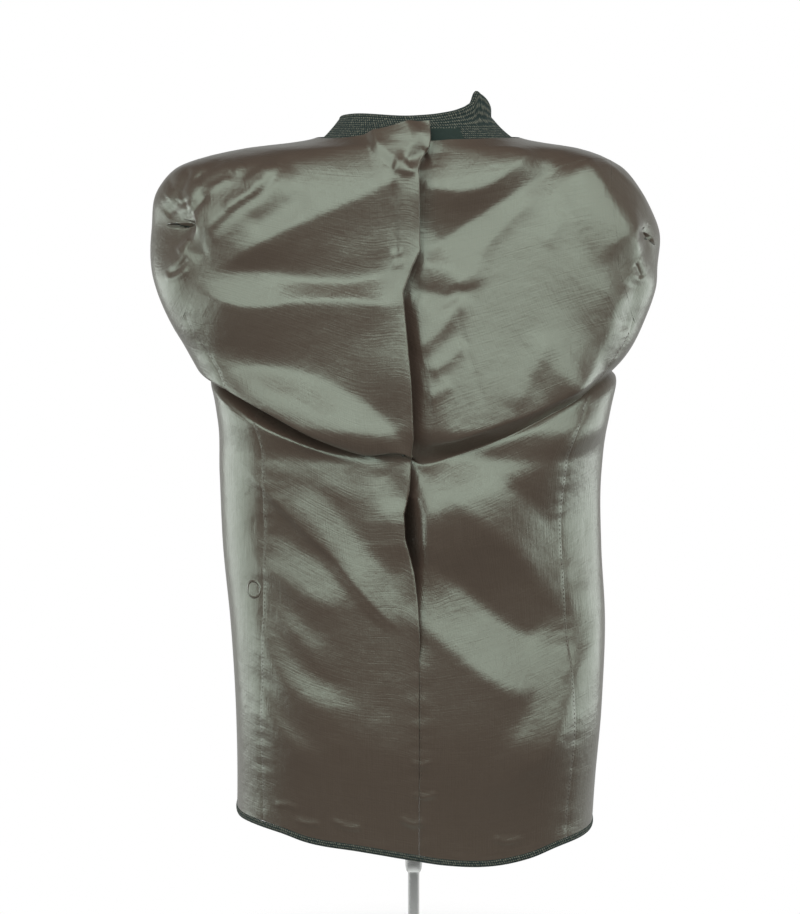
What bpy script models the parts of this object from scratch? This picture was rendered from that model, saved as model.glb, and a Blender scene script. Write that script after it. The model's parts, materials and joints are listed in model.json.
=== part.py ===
"""A sport coat, turned inside out, on a limbless dress form with a counter stand.

Metres, +Z up. The back of the coat faces -Y and the origin is under the middle of the stand's base.
All the cloth of the coat lies on one surface, read by two coordinates: turn, the angle round the body from
the centre back (positive towards +X), and run, the way up the cloth from the hem to the collar's roll.
Each piece is a wall cut from that surface, with its lining side outwards.
"""

import math
from collections import namedtuple

import bmesh
import bpy
import numpy as np

# Cloth
WALL = 0.0022  # lining and tweed, sewn to each other as one wall
TWEED_WALL = 0.0018  # facings and collar
HEM_WALL = 0.0030  # the tweed turned up on itself
LABEL_WALL = 0.0008
SEAM_GAP = 0.0003
LAP_GAP = 0.0004  # between a piece and what it lies on
FACING_DEPTH = WALL + 0.0012  # of the neck facing behind the lining's outer side

# Sections of the coat, each a rounded oval seen from above
Section = namedtuple("Section", "height left right back front square")
SECTIONS = (
    Section(0.262, 0.197, 0.196, 0.126, 0.130, 2.70),
    Section(0.340, 0.195, 0.200, 0.127, 0.133, 2.60),
    Section(0.430, 0.196, 0.206, 0.126, 0.135, 2.50),
    Section(0.520, 0.201, 0.209, 0.122, 0.133, 2.50),
    Section(0.600, 0.208, 0.204, 0.118, 0.129, 2.50),
    Section(0.680, 0.210, 0.202, 0.117, 0.128, 2.50),
    Section(0.740, 0.211, 0.208, 0.119, 0.130, 2.45),
    Section(0.790, 0.224, 0.222, 0.118, 0.133, 2.40),
    Section(0.840, 0.260, 0.245, 0.112, 0.135, 2.30),
    Section(0.895, 0.280, 0.261, 0.106, 0.133, 2.25),
    Section(0.940, 0.283, 0.265, 0.101, 0.127, 2.20),
    Section(0.980, 0.272, 0.243, 0.0965, 0.114, 2.15),
    Section(1.010, 0.238, 0.219, 0.0905, 0.098, 2.10),
    Section(1.027, 0.177, 0.181, 0.0850, 0.086, 2.05),
    Section(1.040, 0.104, 0.112, 0.080, 0.074, 2.00),
    Section(1.054, 0.0885, 0.093, 0.0715, 0.066, 2.00),
    Section(1.068, 0.078, 0.081, 0.065, 0.060, 2.00),
)

# Hem, neck and front edges
Hem = namedtuple("Hem", "turn_deg height")
HEM_LINE = (
    Hem(-90, 0.312),
    Hem(-80, 0.3125),
    Hem(-64, 0.314),
    Hem(-54, 0.311),
    Hem(-46, 0.305),
    Hem(-26, 0.298),
    Hem(0, 0.288),
    Hem(14, 0.283),
    Hem(40, 0.282),
    Hem(48, 0.286),
    Hem(58, 0.294),
    Hem(70, 0.297),
    Hem(80, 0.297),
    Hem(90, 0.297),
)
HEM_EDGE = 0.007  # tweed that shows under the lining
NECK_HEIGHT = 1.040
FACING_TUCK = 0.004  # neck facing behind the lining's top edge
COLLAR_SEAM_HEIGHT = 1.054
LEFT_TOP_RISE = 0.019  # the pleat carries the left back's top edge this far up the facing
LEFT_TOP_REACH = 0.95  # turn over which that rise fades out
FRONT_GAP = 0.014  # between the two front edges, below the opening
FRONT_BREAK_HEIGHT = 0.72  # where the neck opening starts
FRONT_NECK_HALF = 0.046  # half of the opening at the neck
FACING_WIDTH = 0.095
FACING_NECK_TURN = math.radians(66)  # from centre front, at the neck

# The crosswise fold. On the left the upper back hangs over as a lip with a pocket behind it, on the right the
# cloth dips into a trough. Over and under are the reach of the pocket or trough on each side of its deepest line,
# which is the drop below the fold.
FOLD_ROWS = (-0.042, -0.032, -0.024, -0.016, -0.008, 0.0, 0.006, 0.012, 0.024)
Crosswise = namedtuple("Crosswise", "turn_deg height lip hang tuck pocket drop over under rim")
CROSSWISE = (
    Crosswise(-90, 0.798, 0.006, 0.024, 0.0015, 0.004, 0.012, 0.008, 0.008, 0.001),
    Crosswise(-82, 0.796, 0.009, 0.024, 0.0027, 0.007, 0.013, 0.008, 0.008, 0.002),
    Crosswise(-72, 0.787, 0.014, 0.026, 0.0042, 0.010, 0.014, 0.008, 0.008, 0.004),
    Crosswise(-58, 0.765, 0.018, 0.032, 0.0046, 0.012, 0.015, 0.008, 0.008, 0.005),
    Crosswise(-43, 0.737, 0.018, 0.040, 0.0046, 0.009, 0.013, 0.008, 0.008, 0.004),
    Crosswise(-26, 0.716, 0.012, 0.040, 0.0030, 0.003, 0.010, 0.008, 0.008, 0.002),
    Crosswise(-3, 0.714, 0.005, 0.014, 0.0015, 0.002, 0.008, 0.008, 0.008, 0.002),
    Crosswise(3, 0.703, 0.000, 0.020, 0.0004, 0.008, 0.000, 0.020, 0.005, 0.003),
    Crosswise(20, 0.714, 0.000, 0.020, 0.0004, 0.011, 0.000, 0.020, 0.005, 0.004),
    Crosswise(40, 0.733, 0.000, 0.020, 0.0008, 0.013, 0.000, 0.019, 0.005, 0.005),
    Crosswise(58, 0.760, 0.000, 0.020, 0.0011, 0.013, 0.000, 0.018, 0.005, 0.005),
    Crosswise(70, 0.778, 0.000, 0.020, 0.0011, 0.012, 0.000, 0.016, 0.005, 0.005),
    Crosswise(82, 0.786, 0.000, 0.020, 0.0008, 0.008, 0.000, 0.016, 0.005, 0.004),
    Crosswise(90, 0.788, 0.000, 0.020, 0.0008, 0.007, 0.000, 0.016, 0.005, 0.003),
)
LIP_SOFTNESS = 0.008
POCKET_SHARPNESS = 1.3
RIM_DROP = 0.016  # of the rim below the pocket or trough
RIM_SOFTNESS = 0.012
FRONT_FADE = -0.35  # cosine of the turn at which the crosswise fold has died away, round the sides

# The centre back pleat: the left back laps over the right back
Pleat = namedtuple("Pleat", "height centre lap under lift dip")
PLEAT = (
    Pleat(0.260, 0.005, 0.000, 0.000, 0.0000, 0.0000),
    Pleat(0.480, 0.005, 0.000, 0.000, 0.0000, 0.0000),
    Pleat(0.520, 0.003, 0.000, 0.000, 0.0035, 0.0030),
    Pleat(0.560, 0.000, 0.002, 0.003, 0.0060, 0.0060),
    Pleat(0.590, -0.005, 0.002, 0.006, 0.0075, 0.0100),
    Pleat(0.620, -0.014, 0.002, 0.008, 0.0085, 0.0170),
    Pleat(0.655, -0.014, 0.001, 0.008, 0.0085, 0.0170),
    Pleat(0.685, -0.008, 0.000, 0.000, 0.0060, 0.0070),
    Pleat(0.730, -0.005, 0.000, 0.000, 0.0060, 0.0060),
    Pleat(0.790, -0.010, 0.004, 0.006, 0.0085, 0.0090),
    Pleat(0.830, -0.014, 0.004, 0.006, 0.0090, 0.0100),
    Pleat(0.872, -0.020, 0.006, 0.006, 0.0090, 0.0100),
    Pleat(0.900, -0.011, 0.007, 0.006, 0.0080, 0.0070),
    Pleat(0.920, -0.001, 0.008, 0.006, 0.0070, 0.0040),
    Pleat(1.000, -0.005, 0.008, 0.006, 0.0070, 0.0040),
    Pleat(1.016, 0.000, 0.009, 0.006, 0.0070, 0.0030),
    Pleat(1.030, 0.007, 0.009, 0.006, 0.0060, 0.0000),
    Pleat(1.068, 0.009, 0.009, 0.006, 0.0050, 0.0000),
)
PLEAT_DIP_REACH = 0.015
DIP_TURN = 0.6  # left of the pleat, as far as the right back ever goes
PLEAT_SOFTNESS = 0.024

# Draped folds: ridges (height above 0) and troughs along lines of (x, z), as seen from the back or the front.
# Above and below are how far the cloth takes to fall away on each side, and crisp goes from a soft wave at 0 to
# a pressed crease at 1.
Fold = namedtuple("Fold", "side above below height crisp line")
FOLDS = (
    Fold("back", 0.045, 0.030, 0.0090, 0.5, (
        (-0.220, 0.896), (-0.180, 0.921), (-0.140, 0.944), (-0.100, 0.962), (-0.060, 0.980), (-0.012, 1.004))),
    Fold("back", 0.022, 0.016, -0.0045, 0.3, (
        (-0.220, 0.902), (-0.160, 0.906), (-0.100, 0.897), (-0.060, 0.897), (-0.030, 0.906), (0.004, 0.917))),
    Fold("back", 0.018, 0.036, 0.0065, 0.5, (
        (-0.240, 0.892), (-0.200, 0.873), (-0.170, 0.867), (-0.120, 0.874), (-0.060, 0.875), (-0.010, 0.866))),
    Fold("back", 0.035, 0.028, -0.0055, 0.4, (
        (-0.225, 0.796), (-0.160, 0.805), (-0.120, 0.802), (-0.080, 0.787), (-0.040, 0.762), (-0.002, 0.720))),
    Fold("back", 0.018, 0.005, 0.0050, 0.6, ((-0.032, 1.004), (-0.015, 1.012), (0.002, 1.020), (0.018, 1.034))),
    Fold("back", 0.030, 0.018, 0.0065, 0.5, (
        (0.134, 1.036), (0.100, 1.010), (0.075, 0.993), (0.045, 0.987), (0.020, 0.992), (-0.006, 1.004))),
    Fold("back", 0.030, 0.070, -0.0085, 0.5, (
        (-0.006, 0.910), (0.040, 0.945), (0.080, 0.971), (0.120, 0.995), (0.160, 1.012), (0.180, 1.016))),
    Fold("back", 0.018, 0.040, 0.0030, 0.3, (
        (0.168, 1.022), (0.190, 1.000), (0.203, 0.975), (0.218, 0.948), (0.238, 0.922))),
    Fold("back", 0.060, 0.020, 0.0060, 0.4, (
        (0.230, 0.905), (0.213, 0.870), (0.200, 0.840), (0.185, 0.810), (0.165, 0.785), (0.138, 0.763))),
    Fold("back", 0.100, 0.022, 0.0080, 0.4, (
        (-0.006, 0.733), (0.040, 0.742), (0.080, 0.757), (0.120, 0.768), (0.160, 0.785), (0.204, 0.808))),
    Fold("back", 0.022, 0.016, 0.0042, 0.4, ((-0.004, 0.914), (0.025, 0.911), (0.045, 0.898), (0.052, 0.882))),
    Fold("back", 0.012, 0.014, -0.0030, 0.3, ((-0.006, 0.887), (0.020, 0.882), (0.044, 0.874))),
    Fold("back", 0.014, 0.011, 0.0030, 0.3, ((0.052, 0.888), (0.036, 0.858), (0.018, 0.838), (-0.004, 0.820))),
    Fold("back", 0.030, 0.010, 0.0065, 0.7, (
        (-0.192, 0.718), (-0.160, 0.690), (-0.130, 0.660), (-0.100, 0.627), (-0.070, 0.601), (-0.040, 0.566),
        (-0.010, 0.530), (0.010, 0.505))),
    Fold("back", 0.012, 0.025, -0.0040, 0.3, (
        (-0.178, 0.674), (-0.140, 0.645), (-0.110, 0.618), (-0.080, 0.597), (-0.045, 0.566))),
    Fold("back", 0.025, 0.014, 0.0055, 0.4, (
        (-0.160, 0.606), (-0.125, 0.578), (-0.100, 0.562), (-0.070, 0.556), (-0.036, 0.550))),
    Fold("back", 0.025, 0.020, -0.0040, 0.0, ((-0.130, 0.705), (-0.080, 0.672), (-0.045, 0.640), (-0.020, 0.595))),
    Fold("back", 0.016, 0.010, 0.0030, 0.3, ((-0.165, 0.562), (-0.120, 0.525), (-0.090, 0.505), (-0.062, 0.487))),
    Fold("back", 0.010, 0.012, -0.0030, 0.2, ((-0.142, 0.522), (-0.120, 0.497), (-0.100, 0.485), (-0.068, 0.474))),
    Fold("back", 0.018, 0.012, 0.0050, 0.4, (
        (-0.155, 0.530), (-0.135, 0.485), (-0.115, 0.462), (-0.090, 0.449), (-0.048, 0.442))),
    Fold("back", 0.014, 0.010, 0.0030, 0.3, ((-0.170, 0.472), (-0.145, 0.438), (-0.125, 0.418), (-0.094, 0.406))),
    Fold("back", 0.035, 0.040, -0.0060, 0.5, (
        (-0.006, 0.614), (0.020, 0.602), (0.050, 0.580), (0.080, 0.553), (0.110, 0.535), (0.135, 0.531),
        (0.160, 0.545), (0.190, 0.574))),
    Fold("back", 0.050, 0.020, 0.0075, 0.5, (
        (-0.010, 0.550), (0.030, 0.515), (0.060, 0.493), (0.090, 0.475), (0.120, 0.457), (0.136, 0.436))),
    Fold("back", 0.045, 0.016, 0.0050, 0.4, (
        (0.186, 0.535), (0.168, 0.485), (0.155, 0.447), (0.140, 0.418), (0.128, 0.398), (0.100, 0.382))),
    Fold("back", 0.030, 0.030, 0.0030, 0.0, ((0.020, 0.614), (0.070, 0.612), (0.110, 0.605), (0.146, 0.584))),
    Fold("back", 0.030, 0.020, 0.0030, 0.2, ((0.096, 0.632), (0.150, 0.620), (0.194, 0.598))),
    Fold("front", 0.024, 0.024, 0.0045, 0.0, ((-0.225, 0.812), (-0.140, 0.892), (-0.050, 0.948))),
    Fold("front", 0.024, 0.024, 0.0045, 0.0, ((0.060, 0.938), (0.145, 0.866), (0.225, 0.808))),
    Fold("front", 0.022, 0.026, 0.0040, 0.0, ((-0.180, 0.712), (-0.115, 0.638), (-0.052, 0.550))),
    Fold("front", 0.022, 0.026, 0.0040, 0.0, ((0.052, 0.594), (0.115, 0.653), (0.183, 0.697))),
)
FOLD_POINTS = 15  # along each line
FOLD_TAPER = 0.22
FOLD_REACH = 2.6  # widths, past which a fold is nothing
FOLD_SIDE_BLEND = 0.6  # how far a place has to face the back or the front for its folds' whole height
CRISP_SOFTNESS = 0.0025  # radius of a pressed crease
CRISP_FALL = 1.6  # how fast the cloth falls away from one

# Seams between the panels
SIDE_SEAM_TURN = math.radians(61.5)  # below the fold, from the centre back or the centre front
ARMHOLE_SPREAD = math.radians(18)
ARMHOLE_BASE_HEIGHT = 0.828
SEAM_BEND_HEIGHT = 0.707
LOWER_ROWS = 10  # from the hem to the fold
UPPER_ROWS = 15  # from the fold to the neck
ARMHOLE_BASE_ROW = 2  # rows above the fold
ARMHOLE_TOP_ROW = 10
BACK_COLUMNS = (0.0, 0.12, 0.25, 0.38, 0.51, 0.63, 0.74, 0.83, 0.90, 0.955, 1.0)
SIDE_COLUMNS = 6
FRONT_COLUMNS = 6
FACING_COLUMNS = 4

# Sleeves, left inside the coat: a crown round a pinched mouth, and a flat tube down to the cuff
Mouth = namedtuple("Mouth", "turn height half_long half_open slant puff")
MOUTHS = {
    "left": Mouth(math.radians(-78.5), 0.950, 0.0145, 0.0026, 0.06, 0.002),
    "right": Mouth(math.radians(79.5), 0.935, 0.0130, 0.0026, -0.60, 0.003),
}
CROWN_RINGS = 6
CROWN_PUCKERS = 5
CROWN_PUCKER_DEPTH = 0.003
MOUTH_DIP = 0.007
Hang = namedtuple("Hang", "out along height half_wide half_thick")
SLEEVE_HANG = (
    Hang(0.221, -0.030, 0.930, 0.020, 0.0050),
    Hang(0.203, -0.018, 0.890, 0.036, 0.0060),
    Hang(0.185, -0.006, 0.820, 0.047, 0.0065),
    Hang(0.173, 0.000, 0.730, 0.054, 0.0065),
    Hang(0.169, 0.000, 0.620, 0.056, 0.0065),
    Hang(0.167, 0.000, 0.500, 0.054, 0.0060),
    Hang(0.165, 0.000, 0.372, 0.050, 0.0060),
)
SLEEVE_RINGS = 11
SLEEVE_RING_BIAS = 1.25  # over 1 for closer rings at the mouth
THROAT = 0.010  # straight in, behind the mouth
THROAT_TURN = 0.12  # over which the flat tube turns from level to upright

# Collar: a stand, a roll and a fall that goes down inside
Rise = namedtuple("Rise", "turn_deg top")
COLLAR_RISE = (
    Rise(-150, 1.058),
    Rise(-100, 1.062),
    Rise(-60, 1.066),
    Rise(0, 1.0645),
    Rise(25, 1.067),
    Rise(42, 1.071),
    Rise(52, 1.075),
    Rise(61, 1.088),
    Rise(69, 1.0845),
    Rise(78, 1.080),
    Rise(92, 1.070),
    Rise(115, 1.062),
    Rise(150, 1.058),
)
COLLAR_COLUMNS = 52
COLLAR_STAND_ROWS = 3
COLLAR_ROLL_ROWS = 5
COLLAR_ROLL = 0.0036  # radius of the roll, on the outside
COLLAR_LEAN = 0.010  # height over which the stand leans in, below an upright top
COLLAR_FALL = 0.016
COLLAR_END_TURN = math.radians(143)
COLLAR_FALL_PAST_SEAM = 0.006
LABEL_FROM, LABEL_TO = 0.014, 0.054  # across the neck facing
LABEL_COLUMNS = 4

# Dress form and stand
FormSection = namedtuple("FormSection", "height left right back front square")
FORM_BODY = (
    FormSection(0.322, 0.128, 0.128, 0.084, 0.090, 2.2),
    FormSection(0.345, 0.143, 0.143, 0.096, 0.103, 2.2),
    FormSection(0.420, 0.149, 0.149, 0.102, 0.108, 2.2),
    FormSection(0.520, 0.144, 0.144, 0.096, 0.102, 2.2),
    FormSection(0.630, 0.134, 0.134, 0.086, 0.096, 2.2),
    FormSection(0.740, 0.146, 0.146, 0.088, 0.104, 2.2),
    FormSection(0.830, 0.164, 0.164, 0.082, 0.110, 2.2),
    FormSection(0.900, 0.178, 0.178, 0.075, 0.106, 2.2),
    FormSection(0.960, 0.188, 0.188, 0.068, 0.094, 2.2),
    FormSection(1.003, 0.186, 0.186, 0.060, 0.076, 2.1),
)
FORM_NECK = (
    FormSection(1.034, 0.066, 0.066, 0.050, 0.050, 2.0),
    FormSection(1.042, 0.051, 0.051, 0.045, 0.043, 2.0),
    FormSection(1.055, 0.048, 0.048, 0.042, 0.040, 2.0),
)
SEAT_HEIGHTS = (1.027, 1.034)  # of the coat's shoulder line where it rests on the form
SEAT_DROP = WALL + 0.0009
SEAT_SLIM = 0.66  # depth of the form's shoulder against the coat's
FORM_COLUMNS = 28
ROD_RADIUS = 0.00635
COUPLING_RADIUS = 0.0095
COUPLING_BOTTOM = 0.227
COUPLING_LIP = 0.0005  # past the rod, at its foot
COUPLING_ROUND = 0.012
COUPLING_ROUND_STEPS = 6
BASE_RADIUS = 0.145
BASE_THICK = 0.009
BASE_EDGE = 0.002
BASE_SIDES = 40
ROD_SIDES = 16
SEAT_GAP = 0.0003

SHARP_EDGE = math.radians(45)  # edges over this are shaded sharp
RIGHT_ANGLE = math.pi / 2
HALF_TURN = math.pi
STEP = 1e-4  # for slopes of the surface
SETTLING_ROUNDS = 6  # for an edge's turn and run, each of which depends on the other


def smooth_step(x):
    """0 below 0, 1 above 1, and a soft change between."""
    x = np.clip(x, 0.0, 1.0)
    return x * x * (3.0 - 2.0 * x)


def curve_through(at, knots, values):
    """A smooth curve through the values at the knots, read at the places in at."""
    knots, values = np.asarray(knots, float), np.asarray(values, float)
    slopes = np.gradient(values, knots)
    at = np.asarray(at, float)
    i = np.clip(np.searchsorted(knots, at) - 1, 0, len(knots) - 2)
    span = knots[i + 1] - knots[i]
    u = (at - knots[i]) / span
    ahead = u * u * (3.0 - 2.0 * u)
    bend = span * u * (1.0 - u) * (slopes[i] * (1.0 - u) - slopes[i + 1] * u)
    return values[i] + (values[i + 1] - values[i]) * ahead + bend


def column(table, name):
    return np.array([getattr(row, name) for row in table])


HEIGHTS = column(SECTIONS, "height")
HALVES = (column(SECTIONS, "left") + column(SECTIONS, "right")) / 2
BACKS = column(SECTIONS, "back")
RUNS = np.concatenate([[0.0], np.cumsum(np.hypot(np.diff(HALVES), np.diff(HEIGHTS)))])
FINE_RUNS = np.linspace(RUNS[0], RUNS[-1], 2000)
FINE_HEIGHTS = curve_through(FINE_RUNS, RUNS, HEIGHTS)


def run_at(height):
    """The run at which the plain surface reaches a height."""
    return np.interp(height, FINE_HEIGHTS, FINE_RUNS)


def oval(turn, left, right, back, front, square):
    """X and Y of a rounded oval's points, at angles from -Y towards +X."""
    across, ahead = np.sin(turn), np.cos(turn)
    side = np.where(across >= 0, right, left)
    face = np.where(ahead >= 0, back, front)
    reach = ((np.abs(across) / side) ** square + (np.abs(ahead) / face) ** square) ** (-1.0 / square)
    return reach * across, -reach * ahead


def plain_cloth(turn, run):
    """The body's surface with no folds."""
    values = [curve_through(run, RUNS, column(SECTIONS, name)) for name in Section._fields]
    x, y = oval(turn, *values[1:])
    return np.stack([x, y, values[0]], axis=-1)


def outward(surface, turn, run):
    """Unit normals of a surface of turn and run, away from the body."""
    across = surface(turn + STEP, run) - surface(turn - STEP, run)
    along = surface(turn, run + STEP) - surface(turn, run - STEP)
    normal = np.cross(across, along)
    return normal / np.linalg.norm(normal, axis=-1, keepdims=True)


def by_turn(turn, table, name):
    """A column of a table of the back's turns, read at a turn. The front mirrors the back."""
    turned = np.degrees(turn)
    turned = np.where(np.abs(turned) > 90.0, np.sign(turned) * 180.0 - turned, turned)
    return curve_through(turned, column(table, "turn_deg"), column(table, name))


def fold_run(turn):
    return run_at(by_turn(turn, CROSSWISE, "height"))


def hem_run(turn):
    return run_at(by_turn(turn, HEM_LINE, "height"))


def pleat(run, name):
    heights = curve_through(run, RUNS, HEIGHTS)
    return np.interp(heights, column(PLEAT, "height"), column(PLEAT, name))


def centre_turn(run):
    """The turn of the centre back line."""
    return pleat(run, "centre") / curve_through(run, RUNS, BACKS)


def crosswise(turn, run):
    """How far the cloth slides along itself, and how far it comes out, at the crosswise fold."""
    lip, hang, tuck, pocket, drop, over, under, rim = (
        by_turn(turn, CROSSWISE, name) for name in Crosswise._fields[2:])
    up = run - fold_run(turn)
    near = up / LIP_SOFTNESS
    slide = tuck * near * np.exp(0.5 * (1.0 - near * near))
    out = lip * (0.5 + 0.5 * np.tanh(near)) * np.exp(-((up / hang) ** 2))
    above = up + drop
    out = out - pocket * np.exp(-(np.abs(above / np.where(above > 0, over, under)) ** POCKET_SHARPNESS))
    out = out + rim * np.exp(-(((above + RIM_DROP) / RIM_SOFTNESS) ** 2))
    fade = smooth_step(1.0 - np.cos(turn) / FRONT_FADE)
    return slide * fade, out * fade


def fold_line(fold):
    """Points close together along a fold's line, and how far along it each one is."""
    knots = np.array(fold.line)
    far = np.concatenate([[0.0], np.cumsum(np.linalg.norm(np.diff(knots, axis=0), axis=1))])
    at = np.linspace(0.0, far[-1], FOLD_POINTS)
    return np.stack([curve_through(at, far, values) for values in knots.T], axis=-1), at / far[-1]


def off_line(places, line):
    """For each place, how far it is off a line, above it or below it, and how far along the line."""
    points, shares = line
    ways = np.diff(points, axis=0)
    lengths = np.linalg.norm(ways, axis=1)
    apart = places[:, None] - points[:-1]
    along = np.clip(np.sum(apart * ways, axis=2) / lengths ** 2, 0.0, 1.0)
    gap = np.linalg.norm(apart - ways * along[..., None], axis=2)
    nearest = np.argmin(gap, axis=1)
    each = np.arange(len(places))
    side = ways[nearest, 0] * apart[each, nearest, 1] - ways[nearest, 1] * apart[each, nearest, 0]
    share = shares[nearest] + along[each, nearest] * (shares[1] - shares[0])
    return gap[each, nearest], np.sign(side) * np.sign(points[-1, 0] - points[0, 0]), share


def fold_depth(points, normals):
    """How far the draped folds carry the cloth out at points of the plain surface."""
    places = points[..., (0, 2)].reshape(-1, 2)
    faces = normals[..., 1].ravel()
    depth = np.zeros(len(places))
    for fold in FOLDS:
        line = fold_line(fold)
        reach = FOLD_REACH * max(fold.above, fold.below)
        near = (places > line[0].min(axis=0) - reach) & (places < line[0].max(axis=0) + reach)
        near = np.nonzero(near.all(axis=1))[0]
        gap, side, share = off_line(places[near], line)
        wide = np.where(side > 0, fold.above, fold.below)
        away, soft = gap / wide, CRISP_SOFTNESS / wide
        pressed = np.exp(-CRISP_FALL * (np.sqrt(away * away + soft * soft) - soft))
        shape = (1.0 - fold.crisp) * np.exp(-away * away) + fold.crisp * pressed
        shape = shape * smooth_step(share / FOLD_TAPER) * smooth_step((1.0 - share) / FOLD_TAPER)
        seen = -faces[near] if fold.side == "back" else faces[near]
        depth[near] += fold.height * shape * smooth_step(seen / FOLD_SIDE_BLEND)
    return depth.reshape(points.shape[:-1])


def lap_edge(run):
    """The turn of the left back's free edge at the pleat."""
    return centre_turn(run) + pleat(run, "lap") / curve_through(run, RUNS, BACKS)


def cloth(turn, run, lapped=False):
    """The coat's surface with its folds. The lapped one is the left back's, which the pleat lifts."""
    turn, run = np.broadcast_arrays(np.asarray(turn, float), np.asarray(run, float))
    slide, out = crosswise(turn, run)
    slid = run - slide
    points = plain_cloth(turn, slid)
    normals = outward(plain_cloth, turn, slid)
    out = out + fold_depth(points, normals)
    away = (lap_edge(run) - turn) * curve_through(run, RUNS, BACKS)
    if lapped:
        out = out + pleat(run, "lift") * np.exp(-((away / PLEAT_SOFTNESS) ** 2))
    else:
        inside = np.where(away > 0, 1.0, np.exp(-((away / PLEAT_DIP_REACH) ** 2)))
        out = out - pleat(run, "dip") * inside * (turn > -DIP_TURN)
    return points + normals * out[..., None]


def row_run(row, turn, top):
    """The run of a row of the cloth's grid. Rows gather at the fold, from the hem to the top."""
    hem, fold = hem_run(turn), fold_run(turn)
    low, high = fold + FOLD_ROWS[0], fold + FOLD_ROWS[-1]
    if row < LOWER_ROWS:
        return hem + (low - hem) * row / LOWER_ROWS
    row -= LOWER_ROWS
    if row < len(FOLD_ROWS):
        return fold + FOLD_ROWS[row]
    row -= len(FOLD_ROWS) - 1
    return high + (top - high) * row / UPPER_ROWS


NECK_RUN = float(run_at(NECK_HEIGHT))
FOLD_END_ROW = LOWER_ROWS + len(FOLD_ROWS) - 1
BASE_ROW = FOLD_END_ROW + ARMHOLE_BASE_ROW
TOP_ROW = FOLD_END_ROW + ARMHOLE_TOP_ROW
LAST_ROW = FOLD_END_ROW + UPPER_ROWS
SEAM_BEND_RUN = float(run_at(SEAM_BEND_HEIGHT))


def armhole_span(sign):
    """The run at the middle of an armhole, and half of its height along the run."""
    top, base = float(row_run(TOP_ROW, sign * RIGHT_ANGLE, NECK_RUN)), float(run_at(ARMHOLE_BASE_HEIGHT))
    return (top + base) / 2, (top - base) / 2


def armhole_edge(row, sign):
    """Turn and run, from the centre back, where a row meets an armhole's back edge."""
    middle, half = armhole_span(sign)
    turn = RIGHT_ANGLE - ARMHOLE_SPREAD
    for _ in range(SETTLING_ROUNDS):
        run = float(row_run(row, sign * turn, NECK_RUN))
        share = np.clip((run - middle) / half, -1.0, 1.0)
        turn = RIGHT_ANGLE - ARMHOLE_SPREAD * math.sqrt(1.0 - share * share)
    return turn, run


def panel_edge(row, sign):
    """Turn, from the centre back, of a back panel's outer edge at a row: side seam, armhole or shoulder."""
    if row >= TOP_ROW:
        return RIGHT_ANGLE
    if row >= BASE_ROW:
        return armhole_edge(row, sign)[0]
    corner_turn, corner_run = armhole_edge(BASE_ROW, sign)
    turn = SIDE_SEAM_TURN
    for _ in range(SETTLING_ROUNDS):
        risen = row_run(row, sign * turn, NECK_RUN) - SEAM_BEND_RUN
        bend = smooth_step(risen / (corner_run - SEAM_BEND_RUN))
        turn = SIDE_SEAM_TURN + (corner_turn - SIDE_SEAM_TURN) * float(bend)
    return turn


def front_edge(run):
    """Turn, from the centre front, of the front's free edge."""
    height = curve_through(run, RUNS, HEIGHTS)
    opening = np.clip((height - FRONT_BREAK_HEIGHT) / (NECK_HEIGHT - FRONT_BREAK_HEIGHT), 0.0, 1.0)
    half = FRONT_GAP / 2 + (FRONT_NECK_HALF - FRONT_GAP / 2) * opening
    return np.arctan2(half, curve_through(run, RUNS, column(SECTIONS, "front")))


def facing_edge(run):
    """Turn, from the centre front, of the seam between the facing and the front lining."""
    height = curve_through(run, RUNS, HEIGHTS)
    reach = front_edge(run) + FACING_WIDTH / curve_through(run, RUNS, HALVES + column(SECTIONS, "front")) * 2
    neck = smooth_step((height - FRONT_BREAK_HEIGHT) / (NECK_HEIGHT - FRONT_BREAK_HEIGHT))
    return reach + (FACING_NECK_TURN - reach) * neck


def inset(grid, sides, amount=SEAM_GAP / 2):
    """A grid of points with the named sides drawn in, so that two pieces leave a gap at their seam."""
    moved = grid.copy()
    ends = {"first_row": (0, 1), "last_row": (-1, -2)}
    for side, (edge, inner) in ends.items():
        if side in sides:
            way = grid[inner] - grid[edge]
            moved[edge] += way / np.linalg.norm(way, axis=-1, keepdims=True) * amount
    ends = {"first_column": (0, 1), "last_column": (-1, -2)}
    for side, (edge, inner) in ends.items():
        if side in sides:
            way = grid[:, inner] - grid[:, edge]
            moved[:, edge] += way / np.linalg.norm(way, axis=-1, keepdims=True) * amount
    return moved


ALL_SIDES = ("first_row", "last_row", "first_column", "last_column")


def make_material(name, colour, roughness, metallic=0.0):
    material = bpy.data.materials.new(name)
    material.use_nodes = True
    shader = material.node_tree.nodes["Principled BSDF"]
    shader.inputs["Base Color"].default_value = (*colour, 1.0)
    shader.inputs["Roughness"].default_value = roughness
    shader.inputs["Metallic"].default_value = metallic
    return material


def add_object(name, bm, material):
    bmesh.ops.recalc_face_normals(bm, faces=bm.faces)
    mesh = bpy.data.meshes.new(name)
    bm.to_mesh(mesh)
    bm.free()
    mesh.shade_smooth()
    mesh.set_sharp_from_angle(angle=SHARP_EDGE)
    mesh.materials.append(material)
    made = bpy.data.objects.new(name, mesh)
    bpy.context.scene.collection.objects.link(made)
    return made


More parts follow.
